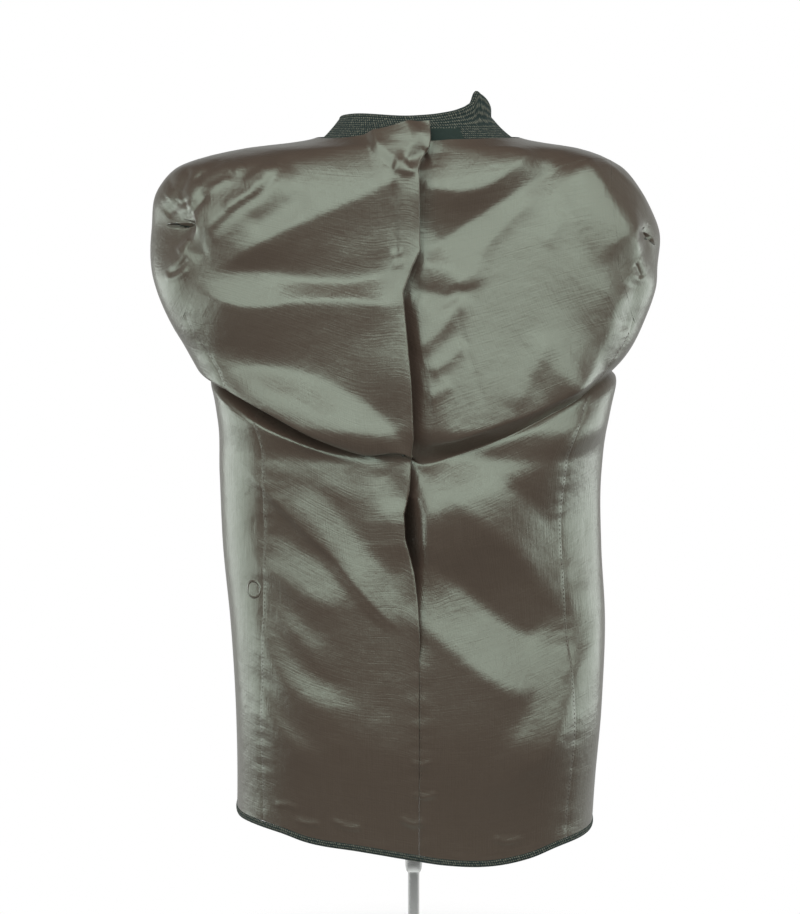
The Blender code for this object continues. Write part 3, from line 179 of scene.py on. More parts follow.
# Draped folds: ridges (height above 0) and troughs along lines of (x, z), on the back and on the front. Above
# and below are how far the cloth takes to fall away on each side, and crisp goes from a soft wave at 0 to a
# pressed crease at 1.
Fold = namedtuple("Fold", "above below height crisp line")
BACK_FOLDS = [Fold(*row) for row in (
    # upper left
    (0.045, 0.03, 0.009, 0.5, (
        (-0.220, 0.896), (-0.180, 0.921), (-0.140, 0.944), (-0.100, 0.962), (-0.060, 0.980),
        (-0.012, 1.002), (0.020, 1.018))),
    (0.022, 0.016, -0.0045, 0.3, (
        (-0.220, 0.902), (-0.160, 0.906), (-0.100, 0.897), (-0.060, 0.897), (-0.030, 0.906),
        (0.004, 0.917))),
    (0.018, 0.036, 0.0065, 0.5, (
        (-0.240, 0.892), (-0.200, 0.873), (-0.170, 0.867), (-0.120, 0.874), (-0.060, 0.875),
        (-0.010, 0.866))),
    (0.035, 0.028, -0.0055, 0.4, (
        (-0.225, 0.796), (-0.160, 0.805), (-0.120, 0.802), (-0.080, 0.787), (-0.040, 0.762),
        (-0.002, 0.720))),
    (0.034, 0.02, 0.007, 0.4, (
        (-0.238, 0.940), (-0.205, 0.954), (-0.178, 0.970), (-0.152, 0.990), (-0.126, 1.016))),
    (0.0035, 0.007, -0.0026, 0.6, (
        (-0.212, 0.938), (-0.200, 0.951), (-0.185, 0.965), (-0.172, 0.974), (-0.158, 0.983),
        (-0.147, 0.996), (-0.133, 1.012))),
    (0.009, 0.004, 0.002, 0.4, ((-0.197, 0.963), (-0.178, 0.977), (-0.162, 0.988), (-0.150, 1.001))),
    (0.014, 0.014, -0.0022, 0.0, ((-0.175, 0.946), (-0.150, 0.960), (-0.130, 0.972), (-0.105, 0.982))),
    (0.004, 0.004, 0.0015, 0.4, ((-0.217, 0.985), (-0.203, 0.992), (-0.188, 1.000))),
    (0.004, 0.004, 0.0014, 0.4, ((-0.178, 0.992), (-0.160, 1.004), (-0.144, 1.014))),
    (0.005, 0.004, 0.0014, 0.3, ((-0.172, 0.988), (-0.154, 1.000), (-0.138, 1.016))),
    (0.006, 0.005, 0.0014, 0.2, ((-0.187, 1.003), (-0.177, 1.015))),
    # left sleeve head
    (0.006, 0.008, -0.0022, 0.5, ((-0.266, 1.002), (-0.254, 0.988), (-0.246, 0.980), (-0.233, 0.970))),
    (0.008, 0.005, -0.0016, 0.5, ((-0.247, 0.978), (-0.243, 0.990), (-0.239, 1.001), (-0.238, 1.012))),
    (0.007, 0.005, -0.003, 0.5, ((-0.214, 0.984), (-0.224, 0.973), (-0.232, 0.963), (-0.240, 0.960))),
    (0.004, 0.004, -0.0012, 0.5, ((-0.243, 0.978), (-0.239, 0.967), (-0.240, 0.956))),
    (0.007, 0.005, -0.0014, 0.5, ((-0.246, 0.978), (-0.256, 0.968), (-0.268, 0.959))),
    (0.007, 0.007, 0.0008, 0.3, ((-0.234, 0.976), (-0.227, 0.985), (-0.218, 0.993))),
    (0.009, 0.009, 0.0008, 0.3, ((-0.264, 0.976), (-0.256, 0.983), (-0.251, 0.994))),
    (0.003, 0.004, -0.0012, 0.6, ((-0.197, 1.018), (-0.209, 1.013), (-0.220, 1.005), (-0.233, 0.993))),
    (0.005, 0.006, 0.0012, 0.5, ((-0.252, 0.922), (-0.244, 0.930), (-0.236, 0.938))),
    (0.004, 0.005, -0.0016, 0.5, ((-0.236, 0.918), (-0.249, 0.904), (-0.262, 0.897))),
    (0.005, 0.004, 0.001, 0.5, ((-0.264, 0.893), (-0.250, 0.897), (-0.236, 0.905))),
    (0.009, 0.008, -0.0014, 0.2, ((-0.242, 0.925), (-0.228, 0.922), (-0.214, 0.926))),
    # neck and pleat
    (0.05, 0.01, 0.004, 0.6, ((-0.022, 1.006), (-0.009, 1.022), (0.000, 1.036), (0.010, 1.052))),
    (0.02, 0.032, 0.0055, 0.0, ((-0.052, 1.043), (-0.025, 1.049), (0.004, 1.056))),
    (0.007, 0.008, -0.0032, 0.2, ((-0.011, 1.013), (0.002, 1.020), (0.014, 1.028))),
    (0.01, 0.004, 0.0026, 0.4, ((-0.025, 1.010), (-0.017, 1.0075), (-0.008, 1.006), (0.004, 1.008))),
    (0.004, 0.005, -0.0022, 0.4, ((-0.022, 1.004), (-0.021, 0.960), (-0.019, 0.912))),
    (0.003, 0.003, 0.0012, 0.4, ((-0.026, 0.921), (-0.012, 0.926))),
    (0.003, 0.003, 0.0012, 0.4, ((-0.024, 0.911), (-0.010, 0.915))),
    # upper right
    (0.03, 0.018, 0.0065, 0.5, (
        (0.134, 1.036), (0.100, 1.010), (0.075, 0.993), (0.045, 0.987), (0.020, 0.992), (-0.006, 1.004))),
    (0.03, 0.07, -0.0085, 0.5, (
        (-0.006, 0.910), (0.040, 0.945), (0.080, 0.971), (0.120, 0.995), (0.160, 1.012), (0.180, 1.016))),
    (0.03, 0.04, 0.0065, 0.5, (
        (0.158, 1.032), (0.186, 1.004), (0.203, 0.975), (0.218, 0.948), (0.238, 0.918))),
    (0.06, 0.02, 0.006, 0.4, (
        (0.230, 0.905), (0.213, 0.870), (0.200, 0.840), (0.185, 0.810), (0.165, 0.785), (0.138, 0.763))),
    (0.075, 0.016, 0.012, 0.6, (
        (-0.006, 0.724), (0.040, 0.733), (0.080, 0.748), (0.120, 0.761), (0.160, 0.780), (0.204, 0.805))),
    (0.016, 0.01, 0.0022, 0.2, (
        (0.140, 0.996), (0.115, 0.974), (0.090, 0.950), (0.070, 0.928), (0.062, 0.900), (0.060, 0.872))),
    (0.012, 0.009, 0.0013, 0.2, ((0.160, 0.966), (0.133, 0.929))),
    (0.014, 0.01, 0.002, 0.2, ((0.143, 0.843), (0.122, 0.805), (0.108, 0.778), (0.098, 0.762))),
    (0.022, 0.016, 0.0042, 0.4, ((-0.004, 0.914), (0.025, 0.911), (0.045, 0.898), (0.052, 0.882))),
    (0.012, 0.014, -0.003, 0.3, ((-0.006, 0.887), (0.020, 0.882), (0.044, 0.874))),
    (0.014, 0.011, 0.003, 0.3, ((0.052, 0.888), (0.036, 0.858), (0.018, 0.838), (-0.004, 0.820))),
    (0.01, 0.009, 0.002, 0.3, ((0.054, 0.834), (0.035, 0.816), (0.012, 0.800))),
    (0.008, 0.008, 0.0013, 0.3, ((0.040, 0.792), (0.012, 0.773))),
    (0.004, 0.004, -0.0009, 0.8, (
        (0.041, 0.908), (0.043, 0.875), (0.047, 0.850), (0.054, 0.825), (0.064, 0.790), (0.074, 0.760))),
    # right sleeve head
    (0.003, 0.003, 0.001, 0.6, ((0.188, 1.020), (0.219, 0.998), (0.238, 0.979), (0.252, 0.960))),
    (0.003, 0.003, -0.0016, 0.6, ((0.231, 0.912), (0.240, 0.893))),
    (0.018, 0.012, -0.003, 0.2, ((0.234, 0.898), (0.228, 0.870), (0.217, 0.835))),
    # lower left
    (0.014, 0.005, 0.0026, 0.7, (
        (-0.190, 0.706), (-0.148, 0.665), (-0.115, 0.634), (-0.083, 0.605), (-0.058, 0.576),
        (-0.035, 0.550), (-0.004, 0.522))),
    (0.006, 0.004, 0.001, 0.6, ((-0.100, 0.610), (-0.070, 0.580), (-0.045, 0.550), (-0.020, 0.528))),
    # above the hem
    (0.003, 0.003, 0.001, 0.4, ((-0.150, 0.334), (-0.136, 0.337), (-0.122, 0.334))),
    (0.003, 0.003, 0.001, 0.4, ((-0.128, 0.322), (-0.112, 0.319), (-0.098, 0.320))),
    (0.003, 0.003, 0.0012, 0.4, ((-0.090, 0.326), (-0.070, 0.318), (-0.052, 0.318))),
    (0.004, 0.003, 0.0012, 0.4, ((-0.018, 0.330), (0.000, 0.322), (0.012, 0.326))),
    (0.003, 0.003, 0.0011, 0.4, ((-0.006, 0.392), (0.006, 0.389), (0.020, 0.392))),
    (0.003, 0.003, 0.0011, 0.4, ((-0.004, 0.357), (0.010, 0.353), (0.026, 0.358))),
    (0.004, 0.003, 0.0012, 0.4, ((0.080, 0.306), (0.098, 0.300), (0.120, 0.303))),
)]
FRONT_FOLDS = [Fold(*row) for row in (
    (0.024, 0.024, 0.0045, 0.0, ((-0.225, 0.812), (-0.140, 0.892), (-0.050, 0.948))),
    (0.024, 0.024, 0.0045, 0.0, ((0.060, 0.938), (0.145, 0.866), (0.225, 0.808))),
    (0.022, 0.026, 0.004, 0.0, ((-0.180, 0.712), (-0.115, 0.638), (-0.052, 0.550))),
    (0.022, 0.026, 0.004, 0.0, ((0.052, 0.594), (0.115, 0.653), (0.183, 0.697))),
)]
FOLD_POINTS = 15  # along each line
FOLD_TAPER = 0.22  # of a fold's length, over which it grows at each end
FOLD_REACH = 2.6  # widths, past which a fold is nothing
FOLD_SIDE_BLEND = 0.6  # how far a place has to face the back or the front for its folds' whole height
CRISP_SOFTNESS = 0.0025  # radius of a pressed crease
CRISP_FALL = 1.6  # how fast one falls away

# Where the lower back leans: bands along lines of (x, z), in which the cloth comes out on its way down.
# Between the bands it goes in again, so that the hem stays where it is.
Lean = namedtuple("Lean", "degrees half line")
LEANS = [Lean(*row) for row in (
    # left
    (10, 0.016, ((-0.165, 0.722), (-0.130, 0.707), (-0.095, 0.694), (-0.060, 0.688))),
    (20, 0.012, ((-0.034, 0.697), (-0.027, 0.675), (-0.021, 0.652))),
    (17, 0.014, ((-0.128, 0.684), (-0.092, 0.648), (-0.062, 0.612), (-0.036, 0.580))),
    (17, 0.02, ((-0.160, 0.616), (-0.125, 0.594), (-0.095, 0.580), (-0.068, 0.573))),
    (14, 0.01, ((-0.165, 0.566), (-0.128, 0.537), (-0.092, 0.506))),
    (18, 0.012, ((-0.160, 0.552), (-0.146, 0.512), (-0.130, 0.486), (-0.105, 0.466), (-0.072, 0.453))),
    (17, 0.008, ((-0.160, 0.470), (-0.146, 0.440), (-0.126, 0.416), (-0.106, 0.402))),
    (7, 0.012, ((-0.040, 0.450), (-0.022, 0.400))),
    # right
    (24, 0.029, (
        (0.000, 0.576), (0.030, 0.556), (0.060, 0.530), (0.090, 0.506), (0.120, 0.490), (0.145, 0.502),
        (0.170, 0.524))),
    (26, 0.021, ((0.152, 0.530), (0.142, 0.485), (0.138, 0.455), (0.126, 0.420), (0.106, 0.396))),
    (13, 0.014, ((0.108, 0.425), (0.096, 0.392), (0.088, 0.360))),
    (17, 0.024, ((0.056, 0.690), (0.086, 0.662), (0.116, 0.635), (0.144, 0.604), (0.166, 0.568))),
    (13, 0.018, ((0.162, 0.650), (0.171, 0.600), (0.176, 0.550))),
)]
LEAN_EDGE = 0.020  # over which a band's lean fades
LEAN_TAPER = 0.35  # of a band's length, over which it grows at each end
LEAN_START = 0.4  # of that growth, which a band has from its very end
LEAN_CELL = 0.004
LEAN_MARGIN = 60  # cells round the grid while it is worked out
LEAN_PAD = 2  # and while it is read
LEAN_INSET = 2.001  # cells from its far edges, where readings stop
LEAN_EVENNESS = 0.25  # weight of the surface's changes sideways, against those on its way down
LEAN_LOW, LEAN_HIGH, LEAN_HALF = 0.285, 0.745, 0.232  # the grid's lowest and highest place and half width
LEAN_FADE_LOW, LEAN_FADE_HIGH = 0.15, 0.04  # over which it fades out at the bottom and at the top

# Seams between the panels
SIDE_SEAM_TURN = math.radians(61.5)
ARMHOLE_SPREAD = math.radians(18)
ARMHOLE_BASE_HEIGHT = 0.828
SEAM_BEND_HEIGHT = 0.707
BASE_SHARE = 2 / 15  # of the way from the fold to the neck, where the armhole starts
TOP_SHARE = 10 / 15  # and where it ends
LOW_CLIMB, HIGH_CLIMB = 0.46, 0.60  # shares of the rows below the fold, and below its upper end
SEAM_DIP = 0.0005
SEAM_WIDTH = 0.0022
ARMHOLE_SEAM_SHARE = 0.25  # of a plain seam's dip and puckers, on an armhole
PUCKER = 0.0002
PUCKER_REACH = 0.012
PUCKER_PITCH = 0.019
PUCKER_DRIFT, PUCKER_DRIFT_RATE = 2.1, 47.0  # of the puckers' phase, along the run
SLOW_PUCKER, SLOW_PITCH, SLOW_PHASE = 0.7, 1.7, 1.3  # a second wave, against the first
FOOT_POINTS = 60  # along the foot of an armhole

# Sleeves, left inside the coat
Mouth = namedtuple("Mouth", "turn height half_long half_open slant puff pucker")
MOUTHS = {
    "left": Mouth(math.radians(-78.5), 0.950, 0.0145, 0.0026, 0.06, 0.001, 0.0004),
    "right": Mouth(math.radians(82.5), 0.935, 0.0130, 0.0026, -0.60, 0.001, 0.0004),
}
MOUTH_DIP = 0.007
CROWN_PUCKERS = 5
Hang = namedtuple("Hang", "out along height half_wide half_thick")
SLEEVE_HANG = [Hang(*row) for row in (
    (0.221, -0.030, 0.930, 0.020, 0.0050),
    (0.203, -0.018, 0.890, 0.036, 0.0060),
    (0.185, -0.006, 0.820, 0.047, 0.0065),
    (0.173, 0.000, 0.730, 0.054, 0.0065),
    (0.169, 0.000, 0.620, 0.056, 0.0065),
    (0.167, 0.000, 0.500, 0.054, 0.0060),
    (0.165, 0.000, 0.372, 0.050, 0.0060),
)]
CROWN_SHARE = 0.62  # of a sleeve's rows, from the armhole to the mouth
TUBE_GATHER = 1.25  # above 1, the tube's rows gather towards the mouth
THROAT = 0.010
THROAT_TURN = 0.12

# Collar: a stand, a roll and a fall that goes down inside
Rise = namedtuple("Rise", "turn_deg top")
COLLAR_RISE = [Rise(*row) for row in (
    (-150, 1.058), (-100, 1.062), (-60, 1.066), (0, 1.0645), (25, 1.067), (42, 1.071), (51, 1.075),
    (56, 1.079), (60, 1.0885), (66, 1.0865), (74, 1.082), (81, 1.077), (92, 1.070), (115, 1.062),
    (150, 1.058),
)]
COLLAR_ROLL = 0.0036
COLLAR_LEAN = 0.010
COLLAR_FALL = 0.016
COLLAR_END_TURN = math.radians(143)
COLLAR_FALL_PAST_SEAM = 0.006
STAND_SHARE, ROLL_SHARE = 0.40, 0.70  # of the collar's rows, up to the stand's top and to the roll's end
LABEL_FROM, LABEL_TO = 0.014, 0.054
LABEL_MARGIN = 0.0004

# What each piece of cloth is cut to before it is sewn and hung: its flat width, length and area
Cut = namedtuple("Cut", "wide long area held")

# A kind of cloth: the word in its pieces' names, its slot, its materials and its thickness
Cloth = namedtuple("Cloth", "word slot materials shell")

# Columns and rows of each kind of piece's grid
GRIDS = {
    "back": (116, 370), "side": (44, 180), "front": (48, 220), "facing": (30, 200), "sleeve": (240, 120),
    "hem": (90, 10), "neck_facing": (200, 8), "collar": (220, 40), "label": (40, 12), "form": (96, 90),
}

# Stitches
STITCH_PITCH = 0.0046
STITCH_HALF_LONG, STITCH_HALF_WIDE, STITCH_HALF_HIGH = 0.0013, 0.00028, 0.00022
STITCH_OFF_SEAM = 0.0018
STITCH_LIFT = 0.0001
FINE_STITCH = 0.65  # of the plain stitch's length and pitch, round the label and the neck
STITCH_SIDES, STITCH_RINGS = 8, 5
SEAM_STITCH_START, SEAM_STITCH_SHORT = 0.012, 0.01  # of the rows, from the hem and short of the armhole
CENTRE_STITCH_HEIGHT = 0.300  # from which the centre back's stitches go up
LABEL_STITCH_INSET = 0.0016
NECK_STITCH_RISE = 0.0012
NECK_STITCH_END = 0.090
SEAM_LINE_POINTS, CENTRE_LINE_POINTS, NECK_LINE_POINTS = 400, 200, 60

# Dress form and stand. Both sides of the form are alike, so each section has one half width.
FORM_SECTIONS = [Section(height, half, half, *depths) for height, half, *depths in (
    (0.322, 0.128, 0.084, 0.090, 2.2),
    (0.345, 0.143, 0.096, 0.103, 2.2),
    (0.420, 0.149, 0.102, 0.108, 2.2),
    (0.520, 0.144, 0.096, 0.102, 2.2),
    (0.630, 0.134, 0.086, 0.096, 2.2),
    (0.740, 0.146, 0.088, 0.104, 2.2),
    (0.830, 0.164, 0.082, 0.110, 2.2),
    (0.900, 0.178, 0.075, 0.106, 2.2),
    (0.960, 0.188, 0.068, 0.094, 2.2),
    (1.003, 0.184, 0.060, 0.074, 2.1),
    (1.022, 0.150, 0.056, 0.062, 2.0),
    (1.031, 0.098, 0.052, 0.054, 2.0),
    (1.042, 0.051, 0.045, 0.043, 2.0),
    (1.055, 0.048, 0.042, 0.040, 2.0),
)]
FORM_WALL = 0.003
ROD_RADIUS = 0.00635
COUPLING_RADIUS = 0.0095
COUPLING_BOTTOM = 0.227
COUPLING_LIP = 0.0005
COUPLING_ROUND = 0.012
BASE_RADIUS = 0.145
BASE_THICK = 0.009
BASE_EDGE = 0.002
SEAT_GAP = 0.0003
BASE_SIDES, ROD_SIDES = 128, 48
ROUND_POINTS = 10  # along the coupling's round end

# Finishes
BUTTON_MARK = (-0.171, -0.080, 0.566)  # middle of a button's ring, felt through the lining
BUTTON_RADIUS = 0.0088
BUTTON_EDGE = 0.0014
TWEED_ROW = 0.0029
TWEED_FLECK = 0.0025
LABEL_RIB = 0.0007
WARP, WEFT = (560.0, 26.0, 1.0), (22.0, 620.0, 1.0)  # the satin's threads per metre, across and up the cut
SATIN_RELIEF, TWEED_RELIEF, FINE_RELIEF = 0.0007, 0.0009, 0.0002

# Colours, the darker one of each pair first
SATIN_BROWN = ((0.049, 0.034, 0.025, 1.0), (0.070, 0.050, 0.038, 1.0))
SATIN_CLOUD = (0.060, 0.043, 0.033, 1.0)
TWEED_GROUND = ((0.005, 0.012, 0.011, 1.0), (0.016, 0.027, 0.024, 1.0))
TWEED_BEIGE = (0.150, 0.152, 0.115, 1.0)
LABEL_GREEN = ((0.008, 0.018, 0.014, 1.0), (0.017, 0.031, 0.025, 1.0))
FORM_PAINT = ((0.80, 0.795, 0.775, 1.0), (0.86, 0.855, 0.84, 1.0))
CHROME = ((0.72, 0.74, 0.72, 1.0), (0.84, 0.86, 0.84, 1.0))
FLOOR_PAINT = ((0.84, 0.85, 0.84, 1.0), (0.88, 0.88, 0.88, 1.0))
BROWN_THREAD = ((0.045, 0.034, 0.026, 1.0), (0.105, 0.088, 0.070, 1.0))
PALE_THREAD = ((0.18, 0.18, 0.14, 1.0), (0.34, 0.33, 0.26, 1.0))

# Studio
FLOOR_RADIUS = 0.56
FLOOR_SOLID = 0.16  # radius from which the floor fades out
FLOOR_SIDES = 96
FRONT_FILL, BACK_FILL = 0.10, 0.6
CEILING_EDGE, BACK_WALL_EDGE = (0.30, 0.70), (-0.1, 0.6)  # Z and Y of the way there, where each sets in
Softbox = namedtuple("Softbox", "name azimuth elevation wide tall power")
# Soft lights round the coat: azimuth 0 is behind the camera, positive towards +X
SOFTBOXES = [Softbox(*row) for row in (
    ("softbox_far_left", -100.0, -11.0, 4.4, 1.4, 66.0),
    ("softbox_left", -44.0, 25.5, 3.2, 3.4, 106.0),
    ("softbox_middle", 0.0, 26.0, 2.8, 3.3, 92.0),
    ("softbox_right", 44.0, 25.5, 3.2, 3.4, 106.0),
    ("softbox_far_right", 100.0, -11.0, 4.4, 1.4, 66.0),
)]
SOFTBOX_DISTANCE = 4.0
SOFTBOX_AIM = 0.80  # height that they point at
CAMERA_PLACE = (-0.0153, -2.6, 1.1074)
CAMERA_TILT = math.radians(81.0)
CAMERA_LENS = 95.4

RIGHT_ANGLE = math.pi / 2
HALF_TURN = math.pi
STEP = 1e-4
SAME_PLACE = 1e-6
SHARP_EDGE = math.radians(35)
SETTLING_ROUNDS = 8
FINE_COUNT = 2000


def smooth_step(x):
    """0 below 0, 1 above 1, and a soft change between."""
    x = np.clip(x, 0.0, 1.0)
    return x * x * (3.0 - 2.0 * x)


def ramp(x, low, high):
    """0 below low, 1 above high, and straight between."""
    return np.clip((x - low) / (high - low), 0.0, 1.0)


def far_along(points):
    """How far along a line of points each one is."""
    return np.concatenate([[0.0], np.cumsum(np.linalg.norm(np.diff(points, axis=0), axis=1))])


def curve_through(at, knots, values, slopes=None):
    """A smooth curve through the values at the knots, read at the places in at."""
    knots, values = np.asarray(knots, float), np.asarray(values, float)
    if slopes is None:
        slopes = np.gradient(values, knots)
    at = np.asarray(at, float)
    i = np.clip(np.searchsorted(knots, at) - 1, 0, len(knots) - 2)
    span = knots[i + 1] - knots[i]
    u = (at - knots[i]) / span
    ahead = u * u * (3.0 - 2.0 * u)
    bend = span * u * (1.0 - u) * (slopes[i] * (1.0 - u) - slopes[i + 1] * u)
    return values[i] + (values[i + 1] - values[i]) * ahead + bend


def column(table, name):
    return np.array([getattr(row, name) for row in table])


HEIGHTS = column(SECTIONS, "height")
HALVES = (column(SECTIONS, "left") + column(SECTIONS, "right")) / 2
BACKS = column(SECTIONS, "back")
FRONTS = column(SECTIONS, "front")
RUNS = far_along(np.stack([HALVES, HEIGHTS], axis=-1))
CLIMBS = np.diff(HEIGHTS) / np.diff(RUNS)
# Evened out so that the shoulders never flatten
EVEN_CLIMBS = 2.0 * CLIMBS[1:] * CLIMBS[:-1] / (CLIMBS[1:] + CLIMBS[:-1])
RUN_CLIMBS = np.concatenate([CLIMBS[:1], EVEN_CLIMBS, CLIMBS[-1:]])
FINE_RUNS = np.linspace(RUNS[0], RUNS[-1], FINE_COUNT)
FINE_HEIGHTS = curve_through(FINE_RUNS, RUNS, HEIGHTS, RUN_CLIMBS)


def run_at(height):
    return np.interp(height, FINE_HEIGHTS, FINE_RUNS)


def height_at(run):
    return curve_through(run, RUNS, HEIGHTS, RUN_CLIMBS)


def oval(turn, left, right, back, front, square):
    """X and Y of a rounded oval's points, at angles from -Y towards +X."""
    across, ahead = np.sin(turn), np.cos(turn)
    side = np.where(across >= 0, right, left)
    face = np.where(ahead >= 0, back, front)
    reach = ((np.abs(across) / side) ** square + (np.abs(ahead) / face) ** square) ** (-1.0 / square)
    return reach * across, -reach * ahead


def plain_cloth(turn, run):
    """The body's surface with no folds."""
    height = height_at(run)
    left, right, square = (
        curve_through(run, RUNS, column(SECTIONS, name)) for name in ("left", "right", "square"))
    back, front = curve_through(height, HEIGHTS, BACKS), curve_through(height, HEIGHTS, FRONTS)
    x, y = oval(turn, left, right, back, front, square)
    return np.stack([x, y, height], axis=-1)


def unit(vectors):
    return vectors / np.linalg.norm(vectors, axis=-1, keepdims=True)


def outward(surface, turn, run):
    """Unit normals of a surface of turn and run, away from the body."""
    across = surface(turn + STEP, run) - surface(turn - STEP, run)
    along = surface(turn, run + STEP) - surface(turn, run - STEP)
    return unit(np.cross(across, along))


def raised(surface, turn, run, out):
    """Points of a surface of turn and run, moved out along its normals."""
    return surface(turn, run) + outward(surface, turn, run) * np.expand_dims(out, -1)


def by_turn(turn, table, name):
    """A column of a table of the back's turns, read at a turn. The front mirrors the back."""
    turned = np.degrees(turn)
    turned = np.where(np.abs(turned) > 90.0, np.sign(turned) * 180.0 - turned, turned)
    return curve_through(turned, column(table, "turn_deg"), column(table, name))


def fold_run(turn):
    return run_at(by_turn(turn, CROSSWISE, "height"))


def hem_run(turn):
    return run_at(by_turn(turn, HEM_LINE, "height"))


def pleat(run, name):
    return np.interp(height_at(run), column(PLEAT, "height"), column(PLEAT, name))


def centre_turn(run):
    return pleat(run, "centre") / curve_through(run, RUNS, BACKS)


def crosswise(turn, run):
    """How far the cloth slides along itself, and how far it comes out, at the crosswise fold."""
    lip, hang, tuck, pocket, drop, over, under, sharp, rim = (
        by_turn(turn, CROSSWISE, name) for name in Crosswise._fields[2:])
    up = run - fold_run(turn)
    near = up / LIP_SOFTNESS
    slide = tuck * near * np.exp(0.5 * (1.0 - near * near))
    out = lip * (0.5 + 0.5 * np.tanh(near)) * np.exp(-((up / hang) ** 2))
    above = up + drop
    out = out - pocket * np.exp(-(np.abs(above / np.where(above > 0, over, under)) ** sharp))
    past_rim = above + RIM_DROP
    out = out + rim * np.exp(-((past_rim / np.where(past_rim > 0, RIM_SOFTNESS, RIM_FALL)) ** 2))
    fade = smooth_step(1.0 - np.cos(turn) / FRONT_FADE)
    return slide * fade, out * fade


def fold_line(fold):
    """Points close together along a fold's line, and how far along it each one is."""
    knots = np.array(fold.line)
    far = far_along(knots)
    at = np.linspace(0.0, far[-1], FOLD_POINTS)
    return np.stack([curve_through(at, far, values) for values in knots.T], axis=-1), at / far[-1]


def off_line(places, line):
    """For each place, how far it is off a line, above it or below it, and how far along the line."""
    points, shares = line
    ways = np.diff(points, axis=0)
    lengths = np.linalg.norm(ways, axis=1)
    apart = places[:, None] - points[:-1]
    along = np.clip(np.sum(apart * ways, axis=2) / lengths ** 2, 0.0, 1.0)
    gap = np.linalg.norm(apart - ways * along[..., None], axis=2)
    nearest = np.argmin(gap, axis=1)
    each = np.arange(len(places))
    side = ways[nearest, 0] * apart[each, nearest, 1] - ways[nearest, 1] * apart[each, nearest, 0]
    share = shares[nearest] + along[each, nearest] * (shares[1] - shares[0])
    return gap[each, nearest], np.sign(side) * np.sign(points[-1, 0] - points[0, 0]), share


def fold_depth(points, normals):
    """How far the draped folds carry the cloth out at points of the plain surface."""
    places = points[..., (0, 2)].reshape(-1, 2)
    backward = -normals[..., 1].ravel()
    depth = lean_depth(places) * smooth_step(backward / FOLD_SIDE_BLEND)
    for folds, seen in ((BACK_FOLDS, backward), (FRONT_FOLDS, -backward)):
        shown = smooth_step(seen / FOLD_SIDE_BLEND)
        for fold in folds:
            line = fold_line(fold)
            reach = FOLD_REACH * max(fold.above, fold.below)
            near = (places > line[0].min(axis=0) - reach) & (places < line[0].max(axis=0) + reach)
            near = np.nonzero(near.all(axis=1))[0]
            gap, side, share = off_line(places[near], line)
            wide = np.where(side > 0, fold.above, fold.below)
            away, soft = gap / wide, CRISP_SOFTNESS / wide
            pressed = np.exp(-CRISP_FALL * (np.sqrt(away * away + soft * soft) - soft))
            shape = (1.0 - fold.crisp) * np.exp(-away * away) + fold.crisp * pressed
            shape = shape * smooth_step(share / FOLD_TAPER) * smooth_step((1.0 - share) / FOLD_TAPER)
            depth[near] += fold.height * shape * shown[near]
    return depth.reshape(points.shape[:-1])


def lean_map():
    """How far the leaning bands carry the cloth out, on a grid of x and z: an even surface that leans so."""
    across = np.arange(-LEAN_HALF, LEAN_HALF, LEAN_CELL)
    heights = np.arange(LEAN_LOW, LEAN_HIGH, LEAN_CELL)
    places = np.stack(np.meshgrid(across, heights), axis=-1)
    slope = np.zeros(places.shape[:2])
    for lean in LEANS:
        gap, _, share = off_line(places.reshape(-1, 2), fold_line(lean))
        band = smooth_step((lean.half - gap) / LEAN_EDGE + 0.5)
        for way in (share, 1.0 - share):
            band = band * smooth_step(way / LEAN_TAPER + LEAN_START)
        slope = np.maximum(slope, math.tan(math.radians(lean.degrees)) * band.reshape(slope.shape))
    slope = np.pad(slope, LEAN_MARGIN)
    waves_up = 2 * math.pi * np.fft.fftfreq(slope.shape[0], LEAN_CELL)[:, None]
    waves_across = 2 * math.pi * np.fft.fftfreq(slope.shape[1], LEAN_CELL)
    bend = waves_up ** 2 + LEAN_EVENNESS * waves_across ** 2
    bend[0, 0] = 1.0
    depth = np.fft.ifft2(1j * waves_up * np.fft.fft2(slope) / bend).real
    depth = depth[LEAN_MARGIN:-LEAN_MARGIN, LEAN_MARGIN:-LEAN_MARGIN]
    low = smooth_step((heights - LEAN_LOW) / LEAN_FADE_LOW)
    high = smooth_step((LEAN_HIGH - heights) / LEAN_FADE_HIGH)
    return depth * (low * high)[:, None]


LEAN_MAP = np.pad(lean_map(), LEAN_PAD)


def lean_depth(places):
    """The leaning bands' depth at places of (x, z), read off the grid along smooth curves."""
    at = (places - (-LEAN_HALF, LEAN_LOW)) / LEAN_CELL + LEAN_PAD
    at = np.clip(at, 1.0, np.array(LEAN_MAP.T.shape) - LEAN_INSET)
    cell = np.floor(at).astype(int)
    u = at - cell
    weights = (0.5 * u * (u * (2.0 - u) - 1.0), 1.0 + u * u * (1.5 * u - 2.5),
               0.5 * u * (1.0 + u * (4.0 - 3.0 * u)), 0.5 * u * u * (u - 1.0))
    depth = 0.0
    for i in range(4):
        for j in range(4):
            read = LEAN_MAP[cell[:, 1] + j - 1, cell[:, 0] + i - 1]
            depth = depth + weights[i][:, 0] * weights[j][:, 1] * read
    return depth


def lap_edge(run):
    """The turn of the left back's free edge at the pleat."""
    return centre_turn(run) + pleat(run, "lap") / curve_through(run, RUNS, BACKS)


